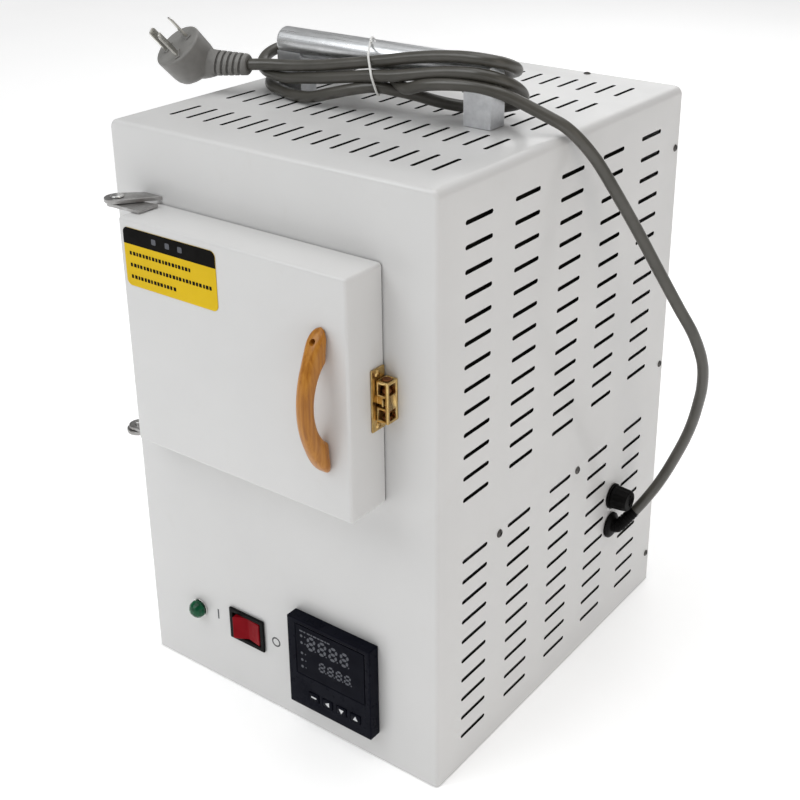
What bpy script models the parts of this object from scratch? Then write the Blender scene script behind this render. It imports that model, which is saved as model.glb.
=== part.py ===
"""Bench-top pottery kiln: a white sheet-metal case with a front-opening door,
a fibre-lined chamber above a shelf, a control bay below it, a carrying handle
on the roof and a mains cord that is wound round the handle.

Sizes are in millimetres and become metres where Blender is called.
X is to the right seen from the front, Y runs towards the back, Z is up.
The origin is on the underside, at the centre of the case's footprint.
"""

import math

import bmesh
import bpy
import numpy as np
from mathutils import Matrix, Vector

MM = 0.001
GAP = 0.3            # clearance kept between pieces that touch

# Case
CASE_W = 265.0
CASE_D = 299.0
CASE_H = 417.0
SHEET = 1.5
FRONT = -CASE_D / 2
BACK = CASE_D / 2
SIDE = CASE_W / 2
FRONT_FLANGE = 8.0
ROOF_FLANGE = 12.0
ROOF_BEND = 6.0
FRONT_BEND = 3.0
SHELF_TOP = 169.5
SHELF_SCREW_Y = {"shelf_screw_front": -79.9, "shelf_screw_rear": 21.8}
BASE_FLANGE = 12.0

# Ventilation slots
SLOT_LENGTH = 28.5
SLOT_WIDTH = 3.0
SIDE_SLOT_Y = (-108.4, -55.7, -2.0, 51.5, 105.5)
SIDE_SLOTS_UPPER = (13, 208.3, 391.2)
SIDE_SLOTS_LOWER = (10, 24.0, 163.3)
ROOF_SLOT_Y = (-105.0, -52.0, 1.6, 57.5, 110.5)
ROOF_SLOTS = (15, -106.75, 106.75)

# Chamber
CHAMBER_Z = 287.0
CAVITY_W = 120.0
CAVITY_H = 90.0
CAVITY_D = 185.0
LINING_W = 184.0
LINING_H = 160.0
LINING_D = 220.0
MOUTH_W = 136.0
MOUTH_H = 106.0
LINING_FRONT = FRONT + SHEET + 0.5
JACKET_WALL = 34.0    # fibre beside and behind the lining
JACKET_TOP = 31.0     # fibre above it
PROBE_Z = 318.0
PROBE_BORE = 3.4
ELEMENT_LEVELS = (-27, -9, 9, 27)     # from the chamber's middle
ELEMENT_RADIUS = 1.4

# Door
DOOR_X = 93.0
DOOR_Z = (207.4, 367.0)
DOOR_THICKNESS = 32.5
DOOR_BACK = FRONT - 1.0
DOOR_FRONT = DOOR_BACK - DOOR_THICKNESS
DOOR_SHEET = 1.2
PLUG_W = 110.0
PLUG_H = 80.0
PLUG_REACH = FRONT + 12.0
PULL_X = 74.0
PULL_Z = 286.0
PULL_HALF = 43.0
PULL_RISE = 19.0
LABEL = ((-88.7, 322.0), (-8.2, 361.5))

# Hinges
HINGE_X = -110.0
HINGE_Y = FRONT - 18.0
PIN_BORE = 2.75
EAR_THICKNESS = 2.6
LEAF_THICKNESS = 2.2

# Catch
CATCH_Z = 282.5
CATCH_X = (95.0, 103.6)
CATCH_HALF = 13.7
CATCH_VIEW = 9.0      # from its centre line to the middle of each ball window
BALL_AXIS = (99.2, FRONT - 5.6)
STRIKE_HALF = 20.5
STRIKE_SCREW = 17.2
TONGUE_HALF = 2.5
TONGUE_TIP = 100.6
BALL_RADIUS = 3.0
BALL_GAP = 3.0       # from the catch's centre line to each ball

# Controls
LAMP = (-82.8, 55.0)
SWITCH = (-35.0, 56.3)
SWITCH_HALF = (16.5, 13.0)
SWITCH_HOLE = (15.2, 11.7)           # half of its opening
ROCKER_TILT = 10.0
ROCKER_PIVOT_Y = FRONT + 4.0
LAMP_HOLE = 5.4
CONTROLLER = (48.5, 58.7)
CONTROLLER_HALF = 36.0
CONTROLLER_HOLE = 34.0               # half of its square opening
CONTROLLER_FACE = FRONT - 10.0
WINDOW_X = (20.0, 80.0)
WINDOW_Z = (50.0, 91.0)
KEY_X = {"set": 34.8, "left": 47.0, "down": 59.3, "up": 71.6}
KEY_Z = 35.0
KEY_SIZE = (8.0, 6.0)
KEY_TRAVEL = 0.8

# Power entry on the right side
FUSE = (78.0, 114.5)
GLAND = (77.0, 89.5)
ENTRY_HOLE = 6.4
CORD_RADIUS = 4.0

# Carrying handle
GRIP_Y = -21.5
GRIP_Z = 452.0
GRIP_RADIUS = 9.8
GRIP_ENDS = (-91.0, 86.5)
POST_X = {"carry_post_left": -80.5, "carry_post_right": 76.8}
POST_SIZE = (20.8, 16.0)
POST_Y = -22.0

# Folded cord wound round the posts and tied to the grip
HANK_LEFT = -80.0     # centres of its two end bends
HANK_RIGHT = 77.0
HANK_Y = -15.0
HANK_BEND = 24.0
HANK_HALF = 5.0
TIE_X = 4.0

# Plug on the cord's end
PLUG_NECK = Vector((-102.6, -48.0, 437.9))
PLUG_LEAD = Vector((-0.958, -0.283, -0.026)).normalized()
PLUG_FACING = Vector((-0.177, -0.631, 0.753)).normalized()
PLUG_ACROSS = Vector((0.7275, 0.4285, 0.5316)).normalized()
PLUG_RADIUS = 18.0
RELIEF_LENGTH = 26.0
CORD_TAIL = 8.5       # cord between the plug and the folded turns

# The free cord, from the gland to the right end of the hank on the handle
CORD_ROUTE = [
    (139.6, 77.1, 89.6), (142.6, 81.2, 94.2), (148.5, 88.5, 102.8),
    (154.3, 92.5, 112.6), (160, 96, 123.3), (165.5, 98.4, 135.3), (171.5, 97.8, 149),
    (180, 95.3, 169.3), (187.2, 90.8, 189), (192.5, 86, 208), (196.3, 81.2, 224),
    (198.4, 73.5, 246), (194.5, 64.5, 269), (185.8, 53.9, 292.5), (175.2, 41.3, 321),
    (163.9, 27, 352.5), (154.4, 12.2, 380.5), (146.8, 1.2, 400.8), (139.8, -8.6, 415),
    (131.8, -13.6, 423.4), (123.5, -17.8, 428.4), (113.8, -22.3, 433),
]

MATERIALS = {
    "case": ((0.86, 0.87, 0.88), 0.35, 0.0),
    "zinc": ((0.62, 0.63, 0.64), 0.4, 1.0),
    "fibre": ((0.93, 0.91, 0.86), 0.95, 0.0),
    "lining": ((0.90, 0.86, 0.78), 0.9, 0.0),
    "hearth": ((0.78, 0.74, 0.68), 0.8, 0.0),
    "heater": ((0.30, 0.27, 0.25), 0.5, 1.0),
    "chrome": ((0.72, 0.73, 0.74), 0.15, 1.0),
    "brass": ((0.72, 0.52, 0.22), 0.3, 1.0),
    "wood": ((0.62, 0.35, 0.12), 0.35, 0.0),
    "label": ((0.95, 0.78, 0.05), 0.4, 0.0),
    "black_plastic": ((0.02, 0.02, 0.025), 0.25, 0.0),
    "smoked": ((0.03, 0.03, 0.04), 0.08, 0.0),
    "key": ((0.06, 0.06, 0.07), 0.4, 0.0),
    "green_lens": ((0.01, 0.25, 0.10), 0.15, 0.0),
    "red_plastic": ((0.65, 0.02, 0.04), 0.2, 0.0),
    "grey_plastic": ((0.30, 0.30, 0.29), 0.45, 0.0),
    "aluminium": ((0.78, 0.79, 0.80), 0.3, 1.0),
    "white_plastic": ((0.90, 0.90, 0.88), 0.4, 0.0),
    "glass": ((0.85, 0.88, 0.88), 0.05, 0.0),
    "ceramic": ((0.88, 0.85, 0.80), 0.6, 0.0),
}

AXES = {"X": Vector((1, 0, 0)), "Y": Vector((0, 1, 0)), "Z": Vector((0, 0, 1))}


# ---------------------------------------------------------------- scene set-up

def clear_scene():
    for obj in list(bpy.data.objects):
        bpy.data.objects.remove(obj, do_unlink=True)


def collection(name):
    made = bpy.data.collections.new(name)
    bpy.context.scene.collection.children.link(made)
    return made


def material(name):
    found = bpy.data.materials.get(name)
    if found:
        return found
    colour, roughness, metallic = MATERIALS[name]
    made = bpy.data.materials.new(name)
    made.use_nodes = True
    shader = made.node_tree.nodes["Principled BSDF"]
    shader.inputs["Base Color"].default_value = (*colour, 1.0)
    shader.inputs["Roughness"].default_value = roughness
    shader.inputs["Metallic"].default_value = metallic
    return made


clear_scene()
PARTS = collection("pottery_kiln")
CUTTERS = collection("cutters")


# ---------------------------------------------------------------- mesh helpers

def add_object(name, data, finish, target=PARTS):
    obj = bpy.data.objects.new(name, data)
    target.objects.link(obj)
    if finish:
        data.materials.append(material(finish))
    if target is CUTTERS:
        obj.hide_render = True
        obj.display_type = "WIRE"
    return obj


def from_bmesh(name, mesh_data, finish, target=PARTS, smooth=False):
    bmesh.ops.recalc_face_normals(mesh_data, faces=mesh_data.faces)
    mesh = bpy.data.meshes.new(name)
    mesh_data.to_mesh(mesh)
    mesh_data.free()
    if smooth:
        mesh.shade_smooth()
        mesh.set_sharp_from_angle(angle=math.radians(35))
    return add_object(name, mesh, finish, target)


def cube_bmesh(low, high):
    """A box between two corners, in metres."""
    made = bmesh.new()
    bmesh.ops.create_cube(made, size=1.0)
    low, high = Vector(low) * MM, Vector(high) * MM
    size = high - low
    for vert in made.verts:
        vert.co = Vector([low[i] + (vert.co[i] + 0.5) * size[i] for i in range(3)])
    return made


def box(name, low, high, finish=None, bevel=0.0, segments=2, target=PARTS):
    obj = from_bmesh(name, cube_bmesh(low, high), finish, target)
    if bevel:
        add_bevel(obj, bevel, segments)
    return obj


def add_bevel(obj, width, segments=2, angle=30.0):
    rounding = obj.modifiers.new("Bevel", "BEVEL")
    rounding.width = width * MM
    rounding.segments = segments
    rounding.limit_method = "ANGLE"
    rounding.angle_limit = math.radians(angle)
    return rounding


def folded_sheet(name, low, high, finish, open_sides, bends, thickness=SHEET):
    """A folded sheet-metal cover: a box without its open sides, such as "+Y",
    its chosen edges bent to a radius, and thickened inwards."""
    shape = cube_bmesh(low, high)
    normals = {face: face.normal.copy() for face in shape.faces}

    def side_of(face):
        axis = max(range(3), key=lambda i: abs(normals[face][i]))
        return ("+" if normals[face][axis] > 0 else "-") + "XYZ"[axis]

    named = {side_of(face): face for face in shape.faces}
    opened = [named[side] for side in open_sides]
    bent = []
    for pair, radius, segments in bends:
        shared = set(named[pair[0]].edges) & set(named[pair[1]].edges)
        bent.append((list(shared), radius, segments))
    bmesh.ops.delete(shape, geom=opened, context="FACES")
    for edges, radius, segments in bent:
        live = [edge for edge in edges if edge.is_valid]
        bmesh.ops.bevel(
            shape, geom=live, offset=radius * MM, segments=segments,
            profile=0.5, affect="EDGES", clamp_overlap=False,
        )
    obj = from_bmesh(name, shape, finish, smooth=True)
    facing = obj.data.polygons[0]
    middle = (Vector(low) + Vector(high)) / 2 * MM
    if facing.normal.dot(facing.center - middle) < 0:
        obj.data.flip_normals()
    wall = obj.modifiers.new("Solidify", "SOLIDIFY")
    wall.thickness = thickness * MM
    wall.offset = -1.0
    wall.use_even_offset = True
    return obj


def aligned(axis):
    """Rotation that takes +Z to an axis."""
    direction = AXES[axis] if isinstance(axis, str) else Vector(axis).normalized()
    return Vector((0, 0, 1)).rotation_difference(direction).to_matrix().to_4x4()


def cylinder(name, start, axis, radius, length, finish=None, sides=24,
             end_radius=None, bevel=0.0, target=PARTS):
    """A cylinder or cone from a start point, along an axis."""
    shape = bmesh.new()
    place = Matrix.Translation(Vector(start) * MM) @ aligned(axis)
    bmesh.ops.create_cone(
        shape, cap_ends=True, segments=sides, radius1=radius * MM,
        radius2=(radius if end_radius is None else end_radius) * MM,
        depth=length * MM,
        matrix=place @ Matrix.Translation((0, 0, length * MM / 2)),
    )
    obj = from_bmesh(name, shape, finish, target, smooth=True)
    if bevel:
        add_bevel(obj, bevel, 2)
    return obj


def turned(name, profile, start, axis, finish, sides=24):
    """A body of revolution: (radius, height) pairs from its start to its end."""
    shape = bmesh.new()
    points = [(0.0, profile[0][1]), *profile, (0.0, profile[-1][1])]
    verts = [shape.verts.new((r * MM, 0, h * MM)) for r, h in points]
    for first, second in zip(verts, verts[1:]):
        shape.edges.new((first, second))
    bmesh.ops.spin(
        shape, geom=shape.verts[:] + shape.edges[:], cent=(0, 0, 0),
        axis=(0, 0, 1), angle=2 * math.pi, steps=sides, use_merge=True,
    )
    bmesh.ops.remove_doubles(shape, verts=shape.verts, dist=1e-6)
    shape.transform(Matrix.Translation(Vector(start) * MM) @ aligned(axis))
    return from_bmesh(name, shape, finish, smooth=True)


def prism(name, outline, axis, low, high, finish=None, bevel=0.0, target=PARTS):
    """A flat outline extruded along an axis. The outline's pairs are the other
    two axes in X, Y, Z order."""
    index = "XYZ".index(axis)

    def lift(pair, height):
        point = list(pair)
        point.insert(index, height)
        return Vector(point) * MM

    shape = bmesh.new()
    face = shape.faces.new([shape.verts.new(lift(pair, low)) for pair in outline])
    grown = bmesh.ops.extrude_face_region(shape, geom=[face])["geom"]
    moved = [item for item in grown if isinstance(item, bmesh.types.BMVert)]
    bmesh.ops.translate(shape, verts=moved, vec=AXES[axis] * (high - low) * MM)
    obj = from_bmesh(name, shape, finish, target)
    if bevel:
        add_bevel(obj, bevel, 1)
    return obj


def arc(centre, radius, start, end, steps):
    """Points of an arc between two angles in degrees."""
    turns = [math.radians(start + (end - start) * i / steps) for i in range(steps + 1)]
    return [(centre[0] + radius * math.cos(t), centre[1] + radius * math.sin(t))
            for t in turns]


def smooth_curve(points, spacing):
    """Evenly spaced points on a centripetal Catmull-Rom curve through points."""
    route = [np.array(p, float) for p in points]
    route = [2 * route[0] - route[1], *route, 2 * route[-1] - route[-2]]
    fine = []
    for p0, p1, p2, p3 in zip(route, route[1:], route[2:], route[3:]):
        knots = [0.0]
        for a, b in ((p0, p1), (p1, p2), (p2, p3)):
            knots.append(knots[-1] + np.linalg.norm(b - a) ** 0.5)
        for t in np.linspace(knots[1], knots[2], 12, endpoint=False):
            a1 = blend(p0, p1, knots[0], knots[1], t)
            a2 = blend(p1, p2, knots[1], knots[2], t)
            a3 = blend(p2, p3, knots[2], knots[3], t)
            b1 = blend(a1, a2, knots[0], knots[2], t)
            b2 = blend(a2, a3, knots[1], knots[3], t)
            fine.append(blend(b1, b2, knots[1], knots[2], t))
    fine.append(route[-2])
    fine = np.array(fine)
    along = np.concatenate([[0], np.cumsum(np.linalg.norm(np.diff(fine, axis=0), axis=1))])
    count = max(2, round(along[-1] / spacing))
    stops = np.linspace(0, along[-1], count + 1)
    return [tuple(np.interp(s, along, fine[:, i]) for i in range(3)) for s in stops]


def blend(a, b, ta, tb, t):
    return a * (tb - t) / (tb - ta) + b * (t - ta) / (tb - ta)


def rod(name, points, radius, finish, resolution=3, scales=None, closed=False):
    """A round rod, wire or cord along points."""
    curve = bpy.data.curves.new(name, "CURVE")
    curve.dimensions = "3D"
    curve.bevel_depth = radius * MM
    curve.bevel_resolution = resolution
    curve.use_fill_caps = True
    spline = curve.splines.new("POLY")
    spline.points.add(len(points) - 1)
    for i, (point, place) in enumerate(zip(spline.points, points)):
        point.co = (*(Vector(place) * MM), 1.0)
        point.radius = scales[i] if scales else 1.0
    spline.use_cyclic_u = closed
    return add_object(name, curve, finish)


def as_mesh(obj, finish):
    """Turns a curve object into a mesh object with welded caps."""
    name = obj.name
    graph = bpy.context.evaluated_depsgraph_get()
    mesh = bpy.data.meshes.new_from_object(obj.evaluated_get(graph))
    place = obj.matrix_world.copy()
    bpy.data.objects.remove(obj, do_unlink=True)
    shape = bmesh.new()
    shape.from_mesh(mesh)
    bmesh.ops.remove_doubles(shape, verts=shape.verts, dist=1e-6)
    made = from_bmesh(name, shape, finish, smooth=True)
    made.matrix_world = place
    bpy.data.meshes.remove(mesh)
    return made


def loft(name, rings, finish):
    """A closed skin over rings of points that all have the same count."""
    shape = bmesh.new()
    loops = [[shape.verts.new(Vector(p) * MM) for p in ring] for ring in rings]
    count = len(loops[0])
    for lower, upper in zip(loops, loops[1:]):
        for i in range(count):
            j = (i + 1) % count
            shape.faces.new((lower[i], lower[j], upper[j], upper[i]))
    shape.faces.new(list(reversed(loops[0])))
    shape.faces.new(loops[-1])
    return from_bmesh(name, shape, finish, smooth=True)


def combine(obj, tool, operation):
    """A Boolean with a tool that moves to the cutters' collection."""
    if tool.name in PARTS.objects:
        PARTS.objects.unlink(tool)
        CUTTERS.objects.link(tool)
    tool.hide_render = True
    tool.display_type = "WIRE"
    change = obj.modifiers.new(operation.title(), "BOOLEAN")
    change.operation = operation
    change.solver = "EXACT"
    change.object = tool


def cut(obj, tool):
    combine(obj, tool, "DIFFERENCE")


def join(obj, tool):
    combine(obj, tool, "UNION")


def boxes_cutter(name, spans):
    """One cutter mesh made of many separate boxes."""
    whole = bmesh.new()
    for low, high in spans:
        piece = cube_bmesh(low, high)
        mesh = bpy.data.meshes.new("slot")
        piece.to_mesh(mesh)
        piece.free()
        whole.from_mesh(mesh)
        bpy.data.meshes.remove(mesh)
    return from_bmesh(name, whole, None, CUTTERS)


# ------------------------------------------------------------------------ case

def spread(group):
    count, first, last = group
    return [first + (last - first) * i / (count - 1) for i in range(count)]


def side_slots(sign):
    inner, outer = sorted((sign * (SIDE - 5), sign * (SIDE + 5)))
    half_l, half_w = SLOT_LENGTH / 2, SLOT_WIDTH / 2
    return [
        ((inner, y - half_l, z - half_w), (outer, y + half_l, z + half_w))
        for y in SIDE_SLOT_Y
        for z in spread(SIDE_SLOTS_UPPER) + spread(SIDE_SLOTS_LOWER)
    ]


def make_side_panel(name, sign):
    inner, outer = sorted((sign * (SIDE - SHEET), sign * SIDE))
    panel = box(
        name,
        (inner, FRONT + FRONT_FLANGE + GAP, 0),
        (outer, BACK, CASE_H - ROOF_FLANGE - GAP),
        "case",
    )
    cut(panel, boxes_cutter(name + "_slots", side_slots(sign)))
    return panel


def make_roof():
    roof = folded_sheet(
        "top_panel",
        (-SIDE, FRONT + FRONT_FLANGE + GAP, CASE_H - ROOF_FLANGE),
        (SIDE, BACK, CASE_H),
        "case",
        open_sides=("-Z", "-Y", "+Y"),
        bends=((("+Z", "-X"), ROOF_BEND, 4), (("+Z", "+X"), ROOF_BEND, 4)),
    )
    half_l, half_w = SLOT_LENGTH / 2, SLOT_WIDTH / 2
    spans = [
        ((x - half_w, y - half_l, CASE_H - 5), (x + half_w, y + half_l, CASE_H + 5))
        for y in ROOF_SLOT_Y
        for x in spread(ROOF_SLOTS)
    ]
    cut(roof, boxes_cutter("roof_slots", spans))


def make_front_panel():
    panel = folded_sheet(
        "front_panel",
        (-SIDE, FRONT, 0),
        (SIDE, FRONT + FRONT_FLANGE, CASE_H),
        "case",
        open_sides=("+Y", "-Z"),
        bends=(
            (("-Y", "-X"), FRONT_BEND, 3),
            (("-Y", "+X"), FRONT_BEND, 3),
            (("-Y", "+Z"), FRONT_BEND, 3),
        ),
    )
    deep = (FRONT - 5, FRONT + 5)
    windows = [
        ((-MOUTH_W / 2, deep[0], CHAMBER_Z - MOUTH_H / 2),
         (MOUTH_W / 2, deep[1], CHAMBER_Z + MOUTH_H / 2)),
        ((CONTROLLER[0] - CONTROLLER_HOLE, deep[0], CONTROLLER[1] - CONTROLLER_HOLE),
         (CONTROLLER[0] + CONTROLLER_HOLE, deep[1], CONTROLLER[1] + CONTROLLER_HOLE)),
        ((SWITCH[0] - SWITCH_HOLE[0], deep[0], SWITCH[1] - SWITCH_HOLE[1]),
         (SWITCH[0] + SWITCH_HOLE[0], deep[1], SWITCH[1] + SWITCH_HOLE[1])),
    ]
    cut(panel, boxes_cutter("front_windows", windows))
    cut(panel, cylinder("lamp_hole", (LAMP[0], deep[0], LAMP[1]), "Y", LAMP_HOLE,
                        10, target=CUTTERS))


def make_case():
    make_front_panel()
    make_roof()
    make_side_panel("left_side_panel", -1)
    right = make_side_panel("right_side_panel", 1)
    for name, (y, z) in (("fuse_hole", FUSE), ("gland_hole", GLAND)):
        cut(right, cylinder(name, (SIDE - 5, y, z), "X", ENTRY_HOLE, 10, target=CUTTERS))
    inside = SIDE - SHEET - GAP
    front_corners = ((("-Y", "-X"), FRONT_BEND, 3), (("-Y", "+X"), FRONT_BEND, 3))
    folded_sheet(
        "back_panel",
        (-inside, BACK - BASE_FLANGE, BASE_FLANGE + GAP),
        (inside, BACK, CASE_H - SHEET - GAP),
        "case",
        open_sides=("-Y",),
        bends=((("+Z", "-X"), ROOF_BEND, 4), (("+Z", "+X"), ROOF_BEND, 4)),
    )
    folded_sheet(
        "base_panel",
        (-inside, FRONT + SHEET + GAP, 0),
        (inside, BACK, BASE_FLANGE),
        "zinc",
        open_sides=("+Z",),
        bends=front_corners,
    )
    folded_sheet(
        "shelf_plate",
        (-inside, FRONT + SHEET + GAP, SHELF_TOP - BASE_FLANGE),
        (inside, BACK - BASE_FLANGE - GAP, SHELF_TOP),
        "zinc",
        open_sides=("-Z",),
        bends=front_corners,
    )


# --------------------------------------------------------------------- chamber

def make_element(name, sign):
    """A heating wire laid up and down a side wall of the cavity."""
    x = sign * (CAVITY_W / 2 - ELEMENT_RADIUS - 0.8)
    front, rear = LINING_FRONT + 22, LINING_FRONT + CAVITY_D - 14
    heights = [CHAMBER_Z + level for level in ELEMENT_LEVELS]
    turn = (heights[1] - heights[0]) / 2
    points = [(x, rear + 10, heights[0])]
    for i, (low, high) in enumerate(zip(heights, heights[1:])):
        forward = i % 2 == 0
        centre_y = front if forward else rear
        swing = (270, 90) if forward else (-90, 90)
        for y, z in arc((centre_y, low + turn), turn, *swing, 5):
            points.append((x, y, z))
    points.append((x, front, heights[-1]))
    rod(name, points, ELEMENT_RADIUS, "heater", resolution=2)


def make_chamber():
    low = (-LINING_W / 2, LINING_FRONT, CHAMBER_Z - LINING_H / 2)
    high = (LINING_W / 2, LINING_FRONT + LINING_D, CHAMBER_Z + LINING_H / 2)
    lining = box("chamber_lining", low, high, "lining")
    cavity = box(
        "cavity_cutter",
        (-CAVITY_W / 2, LINING_FRONT - 5, CHAMBER_Z - CAVITY_H / 2),
        (CAVITY_W / 2, LINING_FRONT + CAVITY_D, CHAMBER_Z + CAVITY_H / 2),
        target=CUTTERS,
    )
    cut(lining, cavity)
    jacket = box(
        "insulation_jacket",
        (low[0] - JACKET_WALL, LINING_FRONT, SHELF_TOP + GAP),
        (high[0] + JACKET_WALL, high[1] + JACKET_WALL, high[2] + JACKET_TOP),
        "fibre",
    )
    room = box(
        "jacket_cutter",
        (low[0] - GAP, LINING_FRONT - 5, low[2] - GAP),
        (high[0] + GAP, high[1] + GAP, high[2] + GAP),
        target=CUTTERS,
    )
    cut(jacket, room)
    probe_start = LINING_FRONT + CAVITY_D - 20
    for target, name in ((lining, "probe_hole_lining"), (jacket, "probe_hole_jacket")):
        cut(target, cylinder(name, (0, LINING_FRONT + 150, PROBE_Z), "Y", PROBE_BORE,
                             150, sides=16, target=CUTTERS))
    jacket_back = high[1] + JACKET_WALL
    reach = jacket_back + GAP - probe_start
    turned(
        "thermocouple",
        [(2.0, 0), (3.0, 1.2), (3.0, reach), (8.0, reach), (8.0, reach + 9),
         (3.0, reach + 9), (3.0, reach + 13)],
        (0, probe_start, PROBE_Z), "Y", "ceramic", sides=16,
    )
    floor = CHAMBER_Z - CAVITY_H / 2
    box(
        "hearth_plate",
        (-CAVITY_W / 2 + 8, LINING_FRONT + 16, floor + GAP),
        (CAVITY_W / 2 - 8, LINING_FRONT + CAVITY_D - 8, floor + 6),
        "hearth", bevel=1.0, segments=1,
    )
    make_element("heating_element_left", -1)
    make_element("heating_element_right", 1)


# ------------------------------------------------------------------------ door

def make_door_shell():
    folded_sheet(
        "door_shell",
        (-DOOR_X, DOOR_FRONT, DOOR_Z[0]),
        (DOOR_X, DOOR_BACK, DOOR_Z[1]),
        "case",
        open_sides=("+Y",),
        bends=tuple((("-Y", side), 3.5, 3) for side in ("-X", "+X", "-Z", "+Z"))
        + tuple(((a, b), 1.2, 1) for a in ("-X", "+X") for b in ("-Z", "+Z")),
        thickness=DOOR_SHEET,
    )


def make_door_core():
    """Fibre block that fills the door, with a tapered plug for the mouth."""
    inset = DOOR_SHEET + GAP
    block_back = DOOR_BACK - 1.8
    block = box(
        "door_insulation",
        (-DOOR_X + inset, DOOR_FRONT + inset, DOOR_Z[0] + inset),
        (DOOR_X - inset, block_back, DOOR_Z[1] - inset),
        "fibre", bevel=2.6, segments=1,
    )
    plug = cube_bmesh(
        (-PLUG_W / 2, block_back - 2, CHAMBER_Z - PLUG_H / 2),
        (PLUG_W / 2, PLUG_REACH, CHAMBER_Z + PLUG_H / 2),
    )
    middle = Vector((0, 0, CHAMBER_Z * MM))
    for vert in plug.verts:
        if vert.co.y > (PLUG_REACH - 1) * MM:
            offset = vert.co - middle
            vert.co.x = middle.x + offset.x * 0.95
            vert.co.z = middle.z + offset.z * 0.95
    join(block, from_bmesh("door_plug_tool", plug, None, CUTTERS))
    frame = box(
        "door_back_frame",
        (-DOOR_X + inset, DOOR_BACK - 1.5, DOOR_Z[0] + inset),
        (DOOR_X - inset, DOOR_BACK - 0.3, DOOR_Z[1] - inset),
        "zinc",
    )
    window = box(
        "door_frame_window",
        (-PLUG_W / 2 - 1, DOOR_BACK - 8, CHAMBER_Z - PLUG_H / 2 - 1),
        (PLUG_W / 2 + 1, DOOR_BACK + 8, CHAMBER_Z + PLUG_H / 2 + 1),
        target=CUTTERS,
    )
    cut(frame, window)


def make_door_pull():
    """Arched wooden pull whose two feet are cut flat against the door."""
    count = 22
    points, scales = [], []
    for i in range(count + 1):
        t = -1 + 2 * i / count
        rise = PULL_RISE * math.cos(t * math.pi / 2) ** 0.8 if abs(t) < 1 else 0.0
        points.append((PULL_X, DOOR_FRONT - rise + 2.5, PULL_Z + t * PULL_HALF))
        scales.append(1.0 + 0.32 * abs(t) ** 2.5)
    pull = as_mesh(rod("door_handle", points, 5.1, "wood", 4, scales), "wood")
    keep_clear = box(
        "pull_foot_cutter",
        (PULL_X - 20, DOOR_FRONT - 0.1, PULL_Z - 70),
        (PULL_X + 20, DOOR_FRONT + 30, PULL_Z + 70),
        target=CUTTERS,
    )
    cut(pull, keep_clear)


def make_label():
    outline = rounded_rectangle(*LABEL, 4.0)
    prism("caution_label", outline, "Y", DOOR_FRONT - 0.45, DOOR_FRONT - 0.1, "label")


def rounded_rectangle(low, high, radius, steps=4):
    corners = (
        ((high[0] - radius, high[1] - radius), 0),
        ((low[0] + radius, high[1] - radius), 90),
        ((low[0] + radius, low[1] + radius), 180),
        ((high[0] - radius, low[1] + radius), 270),
    )
    points = []
    for centre, start in corners:
        points += arc(centre, radius, start, start + 90, steps)
    return points


# ---------------------------------------------------------------------- hinges

def make_hinge(label, ear_low, leaf_low, head_up):
    """One pivot hinge: an ear welded to the case, a leaf on the door, a pin."""
    ear_high = ear_low + EAR_THICKNESS
    leaf_high = leaf_low + LEAF_THICKNESS
    wall = FRONT - GAP
    ear = [(-87.0, wall), *arc((HINGE_X, HINGE_Y), 8.5, -50, -230, 10), (-103.0, wall)]
    leaf = [(-84.0, HINGE_Y + 11), (-84.0, HINGE_Y - 6),
            *arc((HINGE_X, HINGE_Y), 7.0, -70, -270, 10)]
    ear_piece = prism(label + "_hinge_bracket", ear, "Z", ear_low, ear_high, "chrome")
    leaf_piece = prism(label + "_hinge_leaf", leaf, "Z", leaf_low, leaf_high, "chrome")
    for piece, low in ((ear_piece, ear_low), (leaf_piece, leaf_low)):
        hole = cylinder(piece.name + "_bore", (HINGE_X, HINGE_Y, low - 5), "Z",
                        PIN_BORE, 12, sides=20, target=CUTTERS)
        cut(piece, hole)
    if head_up:
        start, axis = leaf_low - 2.0, (0, 0, 1)
        length = ear_high - start
    else:
        start, axis = leaf_high + 2.0, (0, 0, -1)
        length = start - ear_low
    turned(
        label + "_hinge_pin",
        [(2.2, 0), (2.5, 0.4), (2.5, length + GAP), (4.6, length + GAP),
         (4.2, length + 1.2), (2.6, length + 1.8)],
        (HINGE_X, HINGE_Y, start), axis, "chrome", sides=20,
    )


def make_hinges():
    leaf_top = DOOR_Z[1] + GAP
    make_hinge("upper", leaf_top + LEAF_THICKNESS + GAP, leaf_top, True)
    leaf_bottom = DOOR_Z[0] - GAP - LEAF_THICKNESS
    make_hinge("lower", leaf_bottom - GAP - EAR_THICKNESS, leaf_bottom, False)


# ----------------------------------------------------------------------- catch

def make_catch_housing():
    """Brass body on the case with a slot for the tongue and two ball bores."""
    x0, x1 = CATCH_X
    y0, y1 = FRONT - 10.5, FRONT - GAP
    housing = box("catch_housing", (x0, y0, CATCH_Z - CATCH_HALF),
                  (x1, y1, CATCH_Z + CATCH_HALF), "brass")
    slot = box(
        "catch_slot",
        (x0 - 5, y0 - 5, CATCH_Z - 3.6), (x1 - 1.6, y1 - 1.2, CATCH_Z + 3.6),
        target=CUTTERS,
    )
    cut(housing, slot)
    depth = CATCH_HALF + 4
    for name, low in (("upper", CATCH_Z + 2), ("lower", CATCH_Z - 2 - depth)):
        cut(housing, cylinder("catch_bore_" + name, (*BALL_AXIS, low), "Z",
                              BALL_RADIUS + 0.35, depth, sides=20, target=CUTTERS))
    for name, z in (("upper", CATCH_Z + CATCH_VIEW), ("lower", CATCH_Z - CATCH_VIEW)):
        cut(housing, box("catch_view_" + name,
                         (BALL_AXIS[0] - 2.4, y0 - 5, z - 3.6),
                         (BALL_AXIS[0] + 2.4, BALL_AXIS[1], z + 3.6), target=CUTTERS))


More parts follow.
